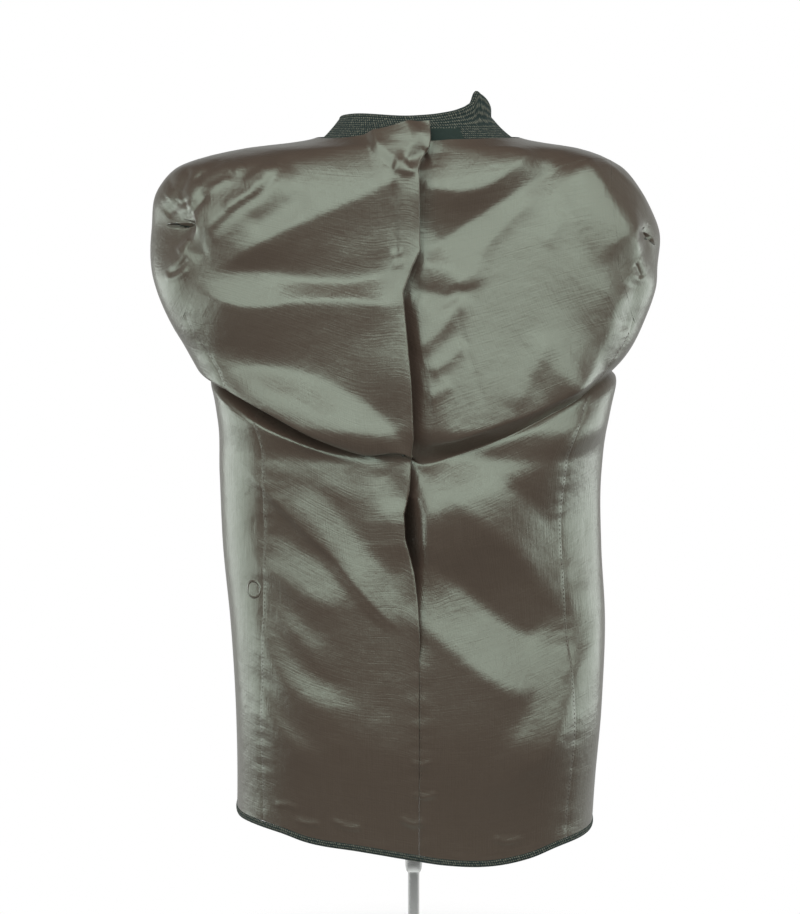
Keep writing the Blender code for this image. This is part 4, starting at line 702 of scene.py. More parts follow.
def cloth(turn, run, lapped=False):
    """The coat's surface with its folds. The lapped one is the left back's, which the pleat lifts."""
    turn, run = np.broadcast_arrays(np.asarray(turn, float), np.asarray(run, float))
    slide, out = crosswise(turn, run)
    slid = run - slide
    points = plain_cloth(turn, slid)
    normals = outward(plain_cloth, turn, slid)
    out = out + fold_depth(points, normals)
    away = (lap_edge(run) - turn) * curve_through(run, RUNS, BACKS)
    if lapped:
        out = out + pleat(run, "lift") * np.exp(-((away / PLEAT_SOFTNESS) ** 2))
    else:
        inside = np.where(away > 0, 1.0, np.exp(-((away / PLEAT_DIP_REACH) ** 2)))
        out = out - pleat(run, "dip") * inside * (turn > -DIP_TURN)
    return points + normals * out[..., None]


NECK_RUN = float(run_at(NECK_HEIGHT))
COLLAR_SEAM_RUN = float(run_at(COLLAR_SEAM_HEIGHT))
SEAM_BEND_RUN = float(run_at(SEAM_BEND_HEIGHT))
BASE_CLIMB = HIGH_CLIMB + (1.0 - HIGH_CLIMB) * BASE_SHARE
TOP_CLIMB = HIGH_CLIMB + (1.0 - HIGH_CLIMB) * TOP_SHARE


def climb_run(climb, turn, top=NECK_RUN):
    """The run at a share of the rows, from the hem to the top. Rows gather at the crosswise fold."""
    hem, fold = hem_run(turn), fold_run(turn)
    low, high = fold - FOLD_SPAN, fold + FOLD_SPAN
    lower = hem + (low - hem) * climb / LOW_CLIMB
    middle = low + (high - low) * (climb - LOW_CLIMB) / (HIGH_CLIMB - LOW_CLIMB)
    upper = high + (top - high) * (climb - HIGH_CLIMB) / (1.0 - HIGH_CLIMB)
    return np.where(climb < LOW_CLIMB, lower, np.where(climb < HIGH_CLIMB, middle, upper))


def armhole_span(sign):
    """The run at the middle of an armhole, and half of its height along the run."""
    top, base = float(climb_run(TOP_CLIMB, sign * RIGHT_ANGLE)), float(run_at(ARMHOLE_BASE_HEIGHT))
    return (top + base) / 2, (top - base) / 2


def armhole_turn(run, sign):
    """Turn, from the centre back, of an armhole's back edge."""
    middle, half = armhole_span(sign)
    share = np.clip((run - middle) / half, -1.0, 1.0)
    return RIGHT_ANGLE - ARMHOLE_SPREAD * np.sqrt(1.0 - share * share)


def armhole_corner(sign):
    """Turn and run where the side seam meets the armhole."""
    turn = RIGHT_ANGLE - ARMHOLE_SPREAD
    for _ in range(SETTLING_ROUNDS):
        turn = float(armhole_turn(climb_run(BASE_CLIMB, sign * turn), sign))
    return turn, float(climb_run(BASE_CLIMB, sign * turn))


def panel_edge(climb, sign):
    """Turn, from the centre back, of a back panel's outer edge: side seam, armhole and shoulder."""
    corner_turn, corner_run = armhole_corner(sign)
    turn = np.full(np.shape(climb), SIDE_SEAM_TURN)
    for _ in range(SETTLING_ROUNDS):
        run = climb_run(climb, sign * turn)
        bend = smooth_step((run - SEAM_BEND_RUN) / (corner_run - SEAM_BEND_RUN))
        seam = SIDE_SEAM_TURN + (corner_turn - SIDE_SEAM_TURN) * bend
        upper = np.where(climb < TOP_CLIMB, armhole_turn(run, sign), RIGHT_ANGLE)
        turn = np.where(climb < BASE_CLIMB, seam, upper)
    return turn


def front_edge(run):
    """Turn, from the centre front, of the front's free edge."""
    opening = ramp(height_at(run), FRONT_BREAK_HEIGHT, NECK_HEIGHT)
    half = FRONT_GAP / 2 + (FRONT_NECK_HALF - FRONT_GAP / 2) * opening
    return np.arctan2(half, curve_through(run, RUNS, FRONTS))


def facing_edge(run):
    """Turn, from the centre front, of the seam between the facing and the front lining."""
    reach = front_edge(run) + FACING_WIDTH / curve_through(run, RUNS, HALVES + FRONTS) * 2
    neck = smooth_step(ramp(height_at(run), FRONT_BREAK_HEIGHT, NECK_HEIGHT))
    return reach + (FACING_NECK_TURN - reach) * neck


def top_rise(turn):
    return LEFT_TOP_RISE * np.clip(1.0 + np.minimum(turn, 0.0) / LEFT_TOP_REACH, 0.0, 1.0)


def seam_dip(away, run):
    """Dip and puckers next to a seam, at a distance from it."""
    groove = -SEAM_DIP * np.exp(-((away / SEAM_WIDTH) ** 2))
    wave = np.sin(2 * math.pi * run / PUCKER_PITCH + PUCKER_DRIFT * np.sin(run * PUCKER_DRIFT_RATE))
    wave = wave + SLOW_PUCKER * np.sin(2 * math.pi * run / (PUCKER_PITCH * SLOW_PITCH) + SLOW_PHASE)
    return groove + PUCKER * wave * np.exp(-((away / PUCKER_REACH) ** 2))


class Field:
    """A value in shader maths. The operators add Math nodes to its material."""

    def __init__(self, nodes, socket):
        self.nodes = nodes
        self.socket = socket

    def __add__(self, other):
        return self.nodes.maths("ADD", self, other)

    __radd__ = __add__

    def __sub__(self, other):
        return self.nodes.maths("SUBTRACT", self, other)

    def __rsub__(self, other):
        return self.nodes.maths("SUBTRACT", other, self)

    def __mul__(self, other):
        return self.nodes.maths("MULTIPLY", self, other)

    __rmul__ = __mul__

    def __pow__(self, other):
        return self.nodes.maths("POWER", self, other)

    def sine(self):
        return self.nodes.maths("SINE", self)

    def magnitude(self):
        return self.nodes.maths("ABSOLUTE", self)

    def step(self, low, high):
        """0 below low, 1 above high, soft between."""
        sockets = {"Value": self, "From Min": low, "From Max": high}
        return self.nodes.node("ShaderNodeMapRange", {"interpolation_type": "SMOOTHSTEP"}, sockets)


class Nodes:
    """A node tree, with short ways to add nodes to it."""

    def __init__(self, tree):
        self.tree = tree

    def node(self, kind, settings, sockets, output=0):
        """A new node: its settings first, then its sockets' values or links."""
        made = self.tree.nodes.new(kind)
        for name, value in settings.items():
            setattr(made, name, value)
        for name, value in sockets.items():
            self.feed(made.inputs[name], value)
        return Field(self, made.outputs[output])

    def feed(self, socket, value):
        if isinstance(value, Field):
            self.tree.links.new(value.socket, socket)
        else:
            socket.default_value = value

    def maths(self, operation, *values):
        return self.node("ShaderNodeMath", {"operation": operation}, dict(enumerate(values)))

    def mix(self, share, first, second):
        """A colour between two others."""
        return self.node("ShaderNodeMix", {"data_type": "RGBA"}, {0: share, 6: first, 7: second}, 2)

    def stretched(self, vector, scale):
        return self.node("ShaderNodeMapping", {}, {"Vector": vector, "Scale": scale})

    def noise(self, vector, scale, detail=2.0, roughness=0.5):
        sockets = {"Vector": vector, "Scale": scale, "Detail": detail, "Roughness": roughness}
        return self.node("ShaderNodeTexNoise", {}, sockets)

    def object_place(self):
        return self.node("ShaderNodeTexCoord", {}, {}, "Object")

    def cut_place(self):
        """The place on the flat cut, in metres."""
        return self.node("ShaderNodeUVMap", {"uv_map": "cut"}, {})

    def axis(self, vector, name):
        return self.node("ShaderNodeSeparateXYZ", {}, {"Vector": vector}, name)

    def relief(self, height, distance):
        return self.node("ShaderNodeBump", {}, {"Height": height, "Distance": distance, "Strength": 1.0})


class Finish(Nodes):
    """A material, with the nodes that its surface is worked out by."""

    def __init__(self, name):
        self.material = bpy.data.materials.new(name)
        self.material.use_nodes = True
        super().__init__(self.material.node_tree)
        self.shader = self.tree.nodes["Principled BSDF"]

    def finish(self, **sockets):
        """Sets the shader's sockets, with underscores for the spaces in their names."""
        for name, value in sockets.items():
            self.feed(self.shader.inputs[name.replace("_", " ")], value)
        return self.material


def lining_satin():
    """A two-tone satin: brown in the shade, grey-green where it catches light, with fine uneven threads."""
    satin = Finish("lining_satin")
    cut = satin.cut_place()
    place = satin.object_place()
    warp = satin.noise(satin.stretched(cut, WARP), 1.0)
    weft = satin.noise(satin.stretched(cut, WEFT), 1.0)
    cloudy = satin.noise(place, 7.0, 3.0)
    threads = warp * 0.5 + weft * 0.5
    brown = satin.mix(threads, *SATIN_BROWN)
    colour = satin.mix(cloudy.step(0.35, 0.7) * 0.6, brown, SATIN_CLOUD)
    crinkle = satin.noise(place, 34.0, 4.0, 0.55)
    apart = satin.node("ShaderNodeVectorMath", {"operation": "DISTANCE"}, {0: place, 1: BUTTON_MARK}, "Value")
    ring = 1.0 - ((apart - BUTTON_RADIUS) * (1.0 / BUTTON_EDGE)).magnitude().step(0.0, 1.0)
    height = threads * 0.5 + crinkle * 1.7 + ring * 1.2
    return satin.finish(
        Base_Color=colour,
        Roughness=0.23 + threads * 0.14 + cloudy * 0.04,
        IOR=1.6,
        Specular_IOR_Level=0.75,
        Specular_Tint=(0.78, 1.0, 0.83, 1.0),
        Sheen_Weight=0.03,
        Sheen_Roughness=0.4,
        Sheen_Tint=(0.75, 0.85, 0.74, 1.0),
        Normal=satin.relief(height, SATIN_RELIEF),
    )


def tweed_cloth():
    """A green-black tweed with rows of small beige flecks."""
    tweed = Finish("tweed")
    cut = tweed.cut_place()
    place = tweed.object_place()
    up = tweed.axis(cut, "Y")
    across = tweed.axis(cut, "X")
    drift = tweed.noise(cut, 90.0)
    rows = ((up * (1.0 / TWEED_ROW) + drift * 0.5) * (2 * math.pi)).sine()
    stitches = ((across * (1.0 / TWEED_FLECK) + up * (0.5 / TWEED_ROW)) * (2 * math.pi)).sine()
    uneven = tweed.noise(tweed.stretched(cut, (330.0, 330.0, 1.0)), 1.0)
    light = (rows * 0.18 + stitches * 0.20 + uneven).step(0.52, 0.80)
    nap = tweed.noise(place, 900.0)
    ground = tweed.mix(nap, *TWEED_GROUND)
    colour = tweed.mix(light * 0.8, ground, TWEED_BEIGE)
    height = rows * 0.25 + light * 0.5 + nap * 0.4
    return tweed.finish(
        Base_Color=colour,
        Roughness=0.86 + nap * 0.1,
        Specular_IOR_Level=0.25,
        Sheen_Weight=0.05,
        Sheen_Roughness=0.5,
        Sheen_Tint=(0.55, 0.75, 0.70, 1.0),
        Normal=tweed.relief(height, TWEED_RELIEF),
    )


def label_cloth():
    label = Finish("label_cloth")
    rib = (label.axis(label.cut_place(), "Y") * (2 * math.pi / LABEL_RIB)).sine()
    nap = label.noise(label.object_place(), 700.0)
    colour = label.mix(nap, *LABEL_GREEN)
    return label.finish(Base_Color=colour, Roughness=0.75 + nap * 0.1, Specular_IOR_Level=0.3,
                        Normal=label.relief(rib * 0.5 + nap * 0.5, FINE_RELIEF))


def form_white():
    white = Finish("form_white")
    cloudy = white.noise(white.object_place(), 30.0, 3.0)
    grain = white.noise(white.object_place(), 900.0)
    colour = white.mix(cloudy, *FORM_PAINT)
    return white.finish(Base_Color=colour, Roughness=0.5 + grain * 0.1,
                        Normal=white.relief(grain, FINE_RELIEF))


def chrome():
    metal = Finish("chrome")
    smear = metal.noise(metal.stretched(metal.object_place(), (60.0, 60.0, 9.0)), 1.0, 3.0)
    colour = metal.mix(smear, *CHROME)
    return metal.finish(Base_Color=colour, Metallic=0.75, Roughness=0.14 + smear * 0.10)


def thread_finish(name, colours):
    thread = Finish(name)
    twist = thread.noise(thread.object_place(), 2500.0, 1.0)
    colour = thread.mix(twist, *colours)
    return thread.finish(Base_Color=colour, Roughness=0.55 + twist * 0.1)


def floor_finish():
    """Pale, and fading out into the white of the studio."""
    floor = Finish("floor")
    place = floor.object_place()
    cloudy = floor.noise(place, 3.0)
    colour = floor.mix(cloudy, *FLOOR_PAINT)
    away = floor.node("ShaderNodeVectorMath", {"operation": "LENGTH"}, {0: place}, "Value")
    return floor.finish(Base_Color=colour, Roughness=0.8, Alpha=1.0 - away.step(FLOOR_SOLID, FLOOR_RADIUS))


def add_piece(name, bm, materials):
    """A new object from a bmesh, which is used up."""
    mesh = bpy.data.meshes.new(name)
    bm.to_mesh(mesh)
    bm.free()
    for material in materials:
        mesh.materials.append(material)
    mesh.shade_smooth()
    made = bpy.data.objects.new(name, mesh)
    bpy.context.scene.collection.objects.link(made)
    return made


def add_cloth(name, grid, place, materials, shell, round_closed=False):
    """A sheet shaped from a flat grid, with a thin wall. place gives points at shares across and up."""
    columns, rows = grid
    bm = bmesh.new()
    bmesh.ops.create_grid(bm, x_segments=columns, y_segments=rows, size=0.5)
    shares = np.array([vert.co for vert in bm.verts]) + 0.5
    points = place(shares[:, 0], shares[:, 1])
    for vert, point in zip(bm.verts, points):
        vert.co = point
    net = points.reshape(rows + 1, columns + 1, 3)
    flat = np.zeros((rows + 1, columns + 1, 2))
    flat[:, 1:, 0] = np.cumsum(np.linalg.norm(np.diff(net, axis=1), axis=2).mean(axis=0))
    flat[1:, :, 1] = np.cumsum(np.linalg.norm(np.diff(net, axis=0), axis=2).mean(axis=1))[:, None]
    flat = flat.reshape(-1, 2)
    cut = bm.loops.layers.uv.new("cut")
    for face in bm.faces:
        for loop in face.loops:
            loop[cut].uv = flat[loop.vert.index]
    if round_closed:
        bmesh.ops.remove_doubles(bm, verts=bm.verts, dist=SAME_PLACE)
    for edge in bm.edges:
        edge.smooth = not edge.is_boundary
    piece = add_piece(name, bm, materials)
    wall = piece.modifiers.new("wall", "SOLIDIFY")
    wall.thickness = shell
    wall.offset = -1.0
    if len(materials) > 1:
        wall.material_offset = 1
        wall.material_offset_rim = 1
    return piece


def add_turned(name, profile, sides, material):
    """A solid of revolution about Z. The profile runs from its bottom middle to its top middle."""
    bm = bmesh.new()
    verts = [bm.verts.new((radius, 0.0, height)) for radius, height in profile]
    edges = [bm.edges.new(pair) for pair in zip(verts, verts[1:])]
    bmesh.ops.spin(bm, geom=verts + edges, axis=(0, 0, 1), cent=(0, 0, 0), angle=2 * math.pi,
                   steps=sides, use_merge=True)
    bmesh.ops.remove_doubles(bm, verts=bm.verts, dist=SAME_PLACE)
    bmesh.ops.recalc_face_normals(bm, faces=bm.faces)
    piece = add_piece(name, bm, [material])
    piece.data.set_sharp_from_angle(angle=SHARP_EDGE)
    return piece


def side_name(sign):
    return "left" if sign < 0 else "right"


def sewn_cloth(turn, run, apart, sewn=1.0):
    """The coat's surface next to a seam, which is apart in turn from each place."""
    points = cloth(turn, run)
    reach = np.hypot(points[:, 0], points[:, 1])
    dip = sewn * seam_dip(apart * reach, run)
    return points + outward(cloth, turn, run) * dip[:, None]


def back_points(sign, across, up):
    """A back panel, from the side seam to the pleat or back again, with its turned-under edge."""
    lapped = sign < 0
    surface = partial(cloth, lapped=lapped)
    inward = across if lapped else 1.0 - across
    curl = ramp(inward, 1.0 - CURL_SHARE, 1.0)
    edge = sign * panel_edge(up, sign)
    centre_run = climb_run(up, 0.0)
    shift = pleat(centre_run, "lap") if lapped else -pleat(centre_run, "under")
    middle = centre_turn(centre_run) + shift / curve_through(centre_run, RUNS, BACKS)
    turn = edge + (middle - edge) * ramp(inward, 0.0, 1.0 - CURL_SHARE)
    run = climb_run(up, turn, NECK_RUN + (top_rise(turn) if lapped else 0.0))
    points = surface(turn, run)
    normal = outward(surface, turn, run)
    reach = np.hypot(points[:, 0], points[:, 1])
    sewn_outside = np.where(up < BASE_CLIMB, 1.0, ARMHOLE_SEAM_SHARE)
    sewn_inside = smooth_step((SEWN_HEIGHT - height_at(run)) / SEWN_END)
    dip = sewn_outside * seam_dip(np.abs(turn - edge) * reach, run)
    dip = dip + sewn_inside * seam_dip(np.abs(turn - middle) * reach, run)
    ahead = unit(surface(turn + STEP, run) - surface(turn - STEP, run)) * -sign
    radius = pleat(run, "round")[:, None]
    angle = math.pi * ramp(curl, 0.0, CURL_BEND)[:, None]
    tail = ramp(curl, CURL_BEND, 1.0)[:, None]
    curled = ahead * (radius * np.sin(angle) - CURL_TAIL * tail) - normal * radius * (1.0 - np.cos(angle))
    turned_in = -normal * ALLOWANCE * curl[:, None]
    loose = smooth_step((radius - CURL_LEAST) / (CURL_MOST - CURL_LEAST))
    return points + normal * dip[:, None] + turned_in + (curled - turned_in) * loose


def side_points(sign, across, up):
    """A side panel, from the hem to the foot of the armhole."""
    middle, half = armhole_span(sign)
    corner_turn = armhole_corner(sign)[0]
    foot_turn = np.linspace(corner_turn, HALF_TURN - corner_turn, FOOT_POINTS)
    foot_share = np.clip((foot_turn - RIGHT_ANGLE) / ARMHOLE_SPREAD, -1.0, 1.0)
    foot = middle - half * np.sqrt(1.0 - foot_share * foot_share)
    drop = foot - climb_run(BASE_CLIMB, sign * foot_turn)
    share = across if sign > 0 else 1.0 - across
    climb = up * BASE_CLIMB
    edge = panel_edge(climb, sign)
    wide = HALF_TURN - 2 * edge
    turn = sign * (edge + wide * share)
    dropped = np.interp(share, np.linspace(0.0, 1.0, FOOT_POINTS), drop) * ramp(climb, HIGH_CLIMB, BASE_CLIMB)
    return sewn_cloth(turn, climb_run(climb, turn) + dropped, np.minimum(share, 1.0 - share) * wide)


def front_points(sign, faced, across, up):
    """A front lining or, where faced, the facing between it and the free front edge."""
    share = across if sign < 0 else 1.0 - across
    middle_run = climb_run(up, sign * (HALF_TURN - SIDE_SEAM_TURN))
    seam = facing_edge(middle_run)
    first, last = (front_edge(middle_run), seam) if faced else (seam, panel_edge(up, sign))
    turn = sign * (HALF_TURN - (first + (last - first) * share))
    apart = np.minimum(share, 1.0 - share) * np.abs(last - first)
    return sewn_cloth(turn, climb_run(up, turn), apart, np.where(up < BASE_CLIMB, 1.0, ARMHOLE_SEAM_SHARE))


def hem_points(from_turn, to_turn, across, up):
    """The tweed edge below a panel, slightly puffed."""
    turn = from_turn + (to_turn - from_turn) * across
    run = hem_run(turn) - HEM_EDGE * (1.0 - up)
    return raised(cloth, turn, run, HEM_PUFF * np.sin(math.pi * np.clip(up, 0.0, 1.0)) ** HEM_PUFF_POWER)


def collar_points(across, up):
    """The collar: a stand up from the facing, a roll and a fall inside."""
    turn = (across * 2.0 - 1.0) * COLLAR_END_TURN
    tops = curve_through(turn, np.radians(column(COLLAR_RISE, "turn_deg")), column(COLLAR_RISE, "top"))
    at_seam = np.full(turn.shape, COLLAR_SEAM_RUN)
    foot = raised(plain_cloth, turn, at_seam, -FACING_DEPTH)
    higher = raised(plain_cloth, turn, at_seam + COLLAR_LEAN, -FACING_DEPTH)
    lean = (higher - foot) / (higher - foot)[:, 2:]
    lean[:, 2] = 0.0
    inward = -outward(plain_cloth, turn, at_seam)
    inward[:, 2] = 0.0
    inward = unit(inward)
    stand = tops - COLLAR_ROLL - foot[:, 2]
    rise = stand * ramp(up, 0.0, STAND_SHARE)
    angle = math.pi * ramp(up, STAND_SHARE, ROLL_SHARE)
    fallen = np.minimum(COLLAR_FALL, stand + COLLAR_FALL_PAST_SEAM) * ramp(up, ROLL_SHARE, 1.0)
    points = foot + lean * np.minimum(rise, COLLAR_LEAN)[:, None]
    points = points + inward * (COLLAR_ROLL * (1.0 - np.cos(angle)))[:, None]
    points[:, 2] += rise + COLLAR_ROLL * np.sin(angle) - fallen
    return points


def neck_facing_points(across, up):
    turn = (across * 2.0 - 1.0) * COLLAR_END_TURN
    foot = NECK_RUN - FACING_TUCK
    return raised(plain_cloth, turn, foot + (COLLAR_SEAM_RUN - SEAM_GAP - foot) * up, -FACING_DEPTH)


def label_points(across, up):
    facing_back = float(curve_through(COLLAR_SEAM_RUN, RUNS, BACKS))
    turn = np.arctan2(LABEL_FROM + (LABEL_TO - LABEL_FROM) * across, facing_back)
    run = NECK_RUN + LABEL_MARGIN + (COLLAR_SEAM_RUN - NECK_RUN - 2 * LABEL_MARGIN) * up
    return raised(plain_cloth, turn, run, -LABEL_DEPTH)


def mouth_place(mouth):
    """The run of a sleeve's mouth, its middle, and the way out of the body there."""
    run = float(run_at(mouth.height))
    return run, cloth(mouth.turn, run), outward(plain_cloth, np.float64(mouth.turn), np.float64(run))


def sleeve_crown(sign, angle_round, share):
    """Points from the armhole in to the pinched mouth, and their angles round the mouth."""
    mouth = MOUTHS[side_name(sign)]
    middle, half = armhole_span(sign)
    mouth_run, centre, _ = mouth_place(mouth)
    reach = float(np.hypot(centre[0], centre[1]))
    loop_turn = sign * (RIGHT_ANGLE - ARMHOLE_SPREAD * np.cos(angle_round))
    loop_run = middle + half * np.sin(angle_round)
    angle = np.arctan2(loop_run - mouth_run, (loop_turn - mouth.turn) * reach)
    cos, sin = math.cos(mouth.slant), math.sin(mouth.slant)
    flat_x, flat_y = mouth.half_long * np.cos(angle), mouth.half_open * np.sin(angle)
    lip_turn = mouth.turn + (cos * flat_x - sin * flat_y) / reach
    lip_run = mouth_run + sin * flat_x + cos * flat_y
    turn = loop_turn + (lip_turn - loop_turn) * share
    run = loop_run + (lip_run - loop_run) * share
    rise = np.sin(math.pi * share) ** 2
    out = (mouth.puff + mouth.pucker * np.cos(CROWN_PUCKERS * angle)) * rise
    return raised(cloth, turn, run, out - MOUTH_DIP * smooth_step(share * 2 - 1)), angle


def sleeve_tube(sign, angle, share):
    """Points of the flat tube that hangs inside, from the mouth to the cuff."""
    mouth = MOUTHS[side_name(sign)]
    _, centre, normal = mouth_place(mouth)
    start = centre - normal * (MOUTH_DIP + THROAT)
    path = np.array([start] + [[sign * hang.out, hang.along, hang.height] for hang in SLEEVE_HANG])
    knots = far_along(path)
    at = knots[-1] * share ** TUBE_GATHER
    point, ahead = (np.stack([curve_through(far, knots, line) for line in path.T], axis=-1)
                    for far in (at, at + STEP))
    forward = unit(ahead - point)
    level = unit(np.array([normal[1], -normal[0], 0.0])) * -sign
    turned = smooth_step(at / THROAT_TURN)[:, None]
    broad = level * (1.0 - turned) + np.array([0.0, -1.0, 0.0]) * turned
    broad = unit(broad - forward * np.sum(broad * forward, axis=1, keepdims=True))
    thin = np.cross(forward, broad) * sign
    half_wide = np.interp(at, knots, [mouth.half_long, *column(SLEEVE_HANG, "half_wide")])
    half_thick = np.interp(at, knots, [mouth.half_open, *column(SLEEVE_HANG, "half_thick")])
    return (point - broad * sign * (np.cos(angle) * half_wide)[:, None]
            + thin * (np.sin(angle) * half_thick)[:, None])


def sleeve_points(sign, across, up):
    """A sleeve: its crown draws in to a pinched mouth, and a flat tube hangs inside."""
    outer, angle = sleeve_crown(sign, -2 * math.pi * across * sign, ramp(up, 0.0, CROWN_SHARE))
    inner = sleeve_tube(sign, angle, ramp(up, CROWN_SHARE, 1.0))
    return np.where((up <= CROWN_SHARE)[:, None], outer, inner)


def form_points(across, up):
    heights = column(FORM_SECTIONS, "height")
    height = heights[0] + (heights[-1] - heights[0]) * up
    values = [curve_through(height, heights, column(FORM_SECTIONS, name)) for name in Section._fields[1:]]
    x, y = oval(2 * math.pi * across, *values)
    return np.stack([x, y, height], axis=-1)


def hem_spans(sign):
    """The turns that the hem of each panel on one side lies between."""
    seam = float(panel_edge(np.zeros(1), sign)[0])
    front_end = HALF_TURN - float(facing_edge(climb_run(0.0, sign * (HALF_TURN - SIDE_SEAM_TURN))))
    middle = float(centre_turn(climb_run(0.0, 0.0)))
    return {
        "back": sorted((middle, sign * seam)),
        "side": sorted((sign * seam, sign * (HALF_TURN - seam))),
        "front": sorted((sign * (HALF_TURN - seam), sign * front_end)),
    }


def make_coat(satin, tweed, label):
    """All the cloth, as (piece, node, slot)."""
    lining = Cloth("lining", "lining_satin", [satin, tweed], SHELL)
    shell = Cloth("tweed", "tweed", [tweed], TWEED_SHELL)
    hem = Cloth("tweed", "tweed", [tweed], HEM_SHELL)
    made = []

    def sew(part, node, place, cut_from, round_closed=False):
        piece = add_cloth(f"{node}_{cut_from.word}", GRIDS[part], place, cut_from.materials, cut_from.shell,
                          round_closed)
        made.append((piece, node, cut_from.slot))

    for sign in (-1, 1):
        side = side_name(sign)
        sew("back", f"back_{side}", partial(back_points, sign), lining)
        sew("side", f"side_{side}", partial(side_points, sign), lining)
        sew("front", f"front_{side}", partial(front_points, sign, False), lining)
        sew("facing", f"facing_{side}", partial(front_points, sign, True), shell)
        sew("sleeve", f"sleeve_{side}", partial(sleeve_points, sign), lining, round_closed=True)
        for part, span in hem_spans(sign).items():
            sew("hem", f"hem_{part}_{side}", partial(hem_points, *span), hem)
    sew("neck_facing", "neck_facing", neck_facing_points, shell)
    sew("collar", "collar", collar_points, shell)
    patch = add_cloth("label_patch", GRIDS["label"], label_points, [label], LABEL_SHELL)
    return [*made, (patch, "neck_label", "label_cloth")]


def stitch_line(turn, run, surface):
    """Points and normals close together along a line of stitches on a surface."""
    return surface(turn, run), outward(surface, turn, run)


def seam_stitches(sign):
    """Along a side seam, on the back's side of it."""
    climb = np.linspace(SEAM_STITCH_START, BASE_CLIMB - SEAM_STITCH_SHORT, SEAM_LINE_POINTS)
    edge = panel_edge(climb, sign)
    run = climb_run(climb, sign * edge)
    reach = np.hypot(*cloth(sign * edge, run)[:, :2].T)
    return stitch_line(sign * (edge - STITCH_OFF_SEAM / reach), run, partial(cloth, lapped=sign < 0))


def centre_stitches():
    """Along the sewn part of the centre back."""
    run = run_at(np.linspace(CENTRE_STITCH_HEIGHT, SEWN_HEIGHT - SEWN_END, CENTRE_LINE_POINTS))
    turn = centre_turn(run) + STITCH_OFF_SEAM / curve_through(run, RUNS, BACKS)
    return stitch_line(turn, run, cloth)


def neck_stitches(from_x, to_x, run, depth):
    """Along the neck, between two places across the back."""
    x = np.linspace(from_x, to_x, NECK_LINE_POINTS)
    turn = np.arctan2(x, float(curve_through(run, RUNS, BACKS)))
    return stitch_line(turn, np.full(turn.shape, run), lambda t, r: raised(plain_cloth, t, r, -depth))


def add_stitches(name, lines, scale, material):
    """Rounded stitches, evenly apart along lines of points and normals."""
    bm = bmesh.new()
    for points, normals in lines:
        far = far_along(points)
        for at in np.arange(STITCH_PITCH, far[-1] - STITCH_PITCH, STITCH_PITCH * scale):
            place = np.array([np.interp(at, far, values) for values in points.T])
            ahead = np.array([np.interp(at + STEP, far, values) for values in points.T])
            normal = unit(np.array([np.interp(at, far, values) for values in normals.T]))
            along = unit(ahead - place)
            turned = np.eye(4)
            turned[:3, 0] = along * STITCH_HALF_LONG * scale
            turned[:3, 1] = np.cross(normal, along) * STITCH_HALF_WIDE
            turned[:3, 2] = normal * STITCH_HALF_HIGH
            turned[:3, 3] = place + normal * STITCH_LIFT
            bmesh.ops.create_uvsphere(bm, u_segments=STITCH_SIDES, v_segments=STITCH_RINGS, radius=1.0,
                                      matrix=Matrix(turned))
    return add_piece(name, bm, [material])


def make_stitches():
    """The sewing that shows: both side seams, the centre back seam, and small stitches round the label."""
    seams = [seam_stitches(-1), seam_stitches(1), centre_stitches()]
    fine = [neck_stitches(LABEL_FROM, LABEL_TO, COLLAR_SEAM_RUN - LABEL_STITCH_INSET, LABEL_DEPTH),
            neck_stitches(LABEL_TO, NECK_STITCH_END, NECK_RUN + NECK_STITCH_RISE, FACING_DEPTH)]
    return (add_stitches("seam_stitches", seams, 1.0, thread_finish("thread_brown", BROWN_THREAD)),
            add_stitches("neck_stitches", fine, FINE_STITCH, thread_finish("thread_pale", PALE_THREAD)))


def declare_sheets(coat):
    """Finds the hem that goes with each panel, and does nothing more with it."""
    hems = {node: piece for piece, node, slot in coat if node.startswith("hem")}
    for piece, node, slot in coat:
        if node in hems:
            continue
        with_pieces = [hems[f"hem_{node}"]] if f"hem_{node}" in hems else []


def make_stand(white, metal):
    """The dress form and its stand, as (piece, node, slot)."""
    form = add_cloth("form_smooth", GRIDS["form"], form_points, [white], FORM_WALL, round_closed=True)
    base = add_turned("base_plate", (
        (0.0, 0.0), (BASE_RADIUS - BASE_EDGE / 2, 0.0), (BASE_RADIUS, BASE_EDGE / 2),
        (BASE_RADIUS, BASE_THICK - BASE_EDGE), (BASE_RADIUS - BASE_EDGE, BASE_THICK), (0.0, BASE_THICK),
    ), BASE_SIDES, metal)
    rod = add_turned("rod", (
        (0.0, BASE_THICK + SEAT_GAP), (ROD_RADIUS, BASE_THICK + SEAT_GAP),
        (ROD_RADIUS, COUPLING_BOTTOM - SEAT_GAP), (0.0, COUPLING_BOTTOM - SEAT_GAP),
    ), ROD_SIDES, metal)
    top = FORM_SECTIONS[0].height - SEAT_GAP
    foot_radius = ROD_RADIUS + COUPLING_LIP
    round_end = [(foot_radius + (COUPLING_RADIUS - foot_radius) * math.sin(angle),
                  COUPLING_BOTTOM + COUPLING_ROUND * (1.0 - math.cos(angle)))
                 for angle in np.linspace(0.0, RIGHT_ANGLE, ROUND_POINTS)]
    coupling = add_turned("coupling", (
        (0.0, COUPLING_BOTTOM), *round_end, (COUPLING_RADIUS, top), (0.0, top),
    ), ROD_SIDES, metal)
    return ((form, "form_torso", "form_white"), (base, "stand_base", "chrome"),
            (rod, "stand_rod", "chrome"), (coupling, "stand_coupling", "chrome"))


def make_floor():
    bm = bmesh.new()
    bmesh.ops.create_circle(bm, cap_ends=True, segments=FLOOR_SIDES, radius=FLOOR_RADIUS)
    floor = add_piece("floor", bm, [floor_finish()])


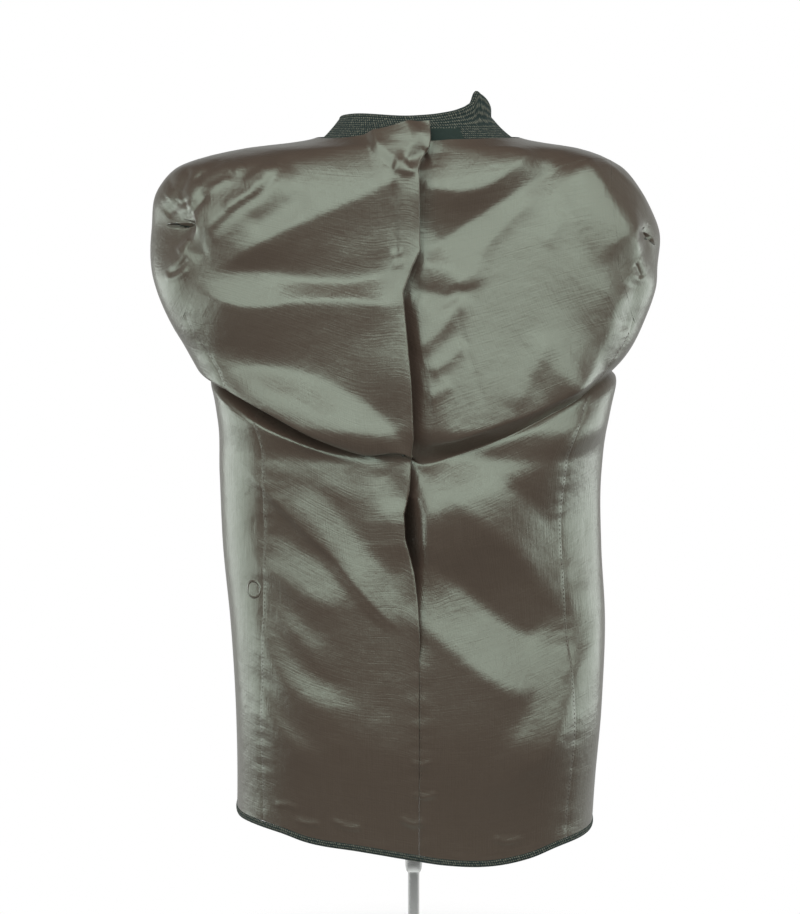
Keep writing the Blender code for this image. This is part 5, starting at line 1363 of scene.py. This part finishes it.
def add_softbox(softbox):
    """A soft light that points at the coat."""
    light = bpy.data.lights.new(softbox.name, "AREA")
    light.shape = "RECTANGLE"
    light.size = softbox.wide
    light.size_y = softbox.tall
    light.energy = softbox.power
    box = bpy.data.objects.new(softbox.name, light)
    bpy.context.scene.collection.objects.link(box)
    az, el = math.radians(softbox.azimuth), math.radians(softbox.elevation)
    level, rise = SOFTBOX_DISTANCE * math.cos(el), SOFTBOX_DISTANCE * math.sin(el)
    box.location = (level * math.sin(az), -level * math.cos(az), SOFTBOX_AIM + rise)
    box.rotation_euler = (RIGHT_ANGLE - el, 0.0, az)


def make_light():
    """A white studio, bright behind the coat and dim before it, with soft lights before and beside it."""
    world = bpy.data.worlds.new("studio")
    world.use_nodes = True
    bpy.context.scene.world = world
    studio = Nodes(world.node_tree)
    way = studio.node("ShaderNodeTexCoord", {}, {}, "Generated")
    ceiling = studio.axis(way, "Z").step(*CEILING_EDGE)
    behind = studio.axis(way, "Y").step(*BACK_WALL_EDGE) * (1.0 - ceiling)
    seen = studio.node("ShaderNodeLightPath", {}, {}, "Is Camera Ray")
    lit = FRONT_FILL + (BACK_FILL - FRONT_FILL) * behind
    strength = lit + (1.0 - lit) * seen
    studio.feed(world.node_tree.nodes["Background"].inputs["Color"], (1.0, 1.0, 1.0, 1.0))
    studio.feed(world.node_tree.nodes["Background"].inputs["Strength"], strength)
    for softbox in SOFTBOXES:
        add_softbox(softbox)
    bpy.context.scene.view_settings.view_transform = "Standard"


def make_camera():
    lens = bpy.data.cameras.new("camera")
    lens.lens = CAMERA_LENS
    camera = bpy.data.objects.new("camera", lens)
    bpy.context.scene.collection.objects.link(camera)
    camera.location = CAMERA_PLACE
    camera.rotation_euler = (CAMERA_TILT, 0.0, 0.0)
    bpy.context.scene.camera = camera


def main():
    for old in list(bpy.data.objects):
        bpy.data.objects.remove(old)
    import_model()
    make_camera()
    make_light()
    make_floor()
    coat = make_coat(lining_satin(), tweed_cloth(), label_cloth())
    for piece, node, slot in [*coat, *make_stand(form_white(), chrome())]:
        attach(piece, "root")
        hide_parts(node)
    declare_sheets(coat)
    for stitches in make_stitches():
        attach(stitches, "root")


main()
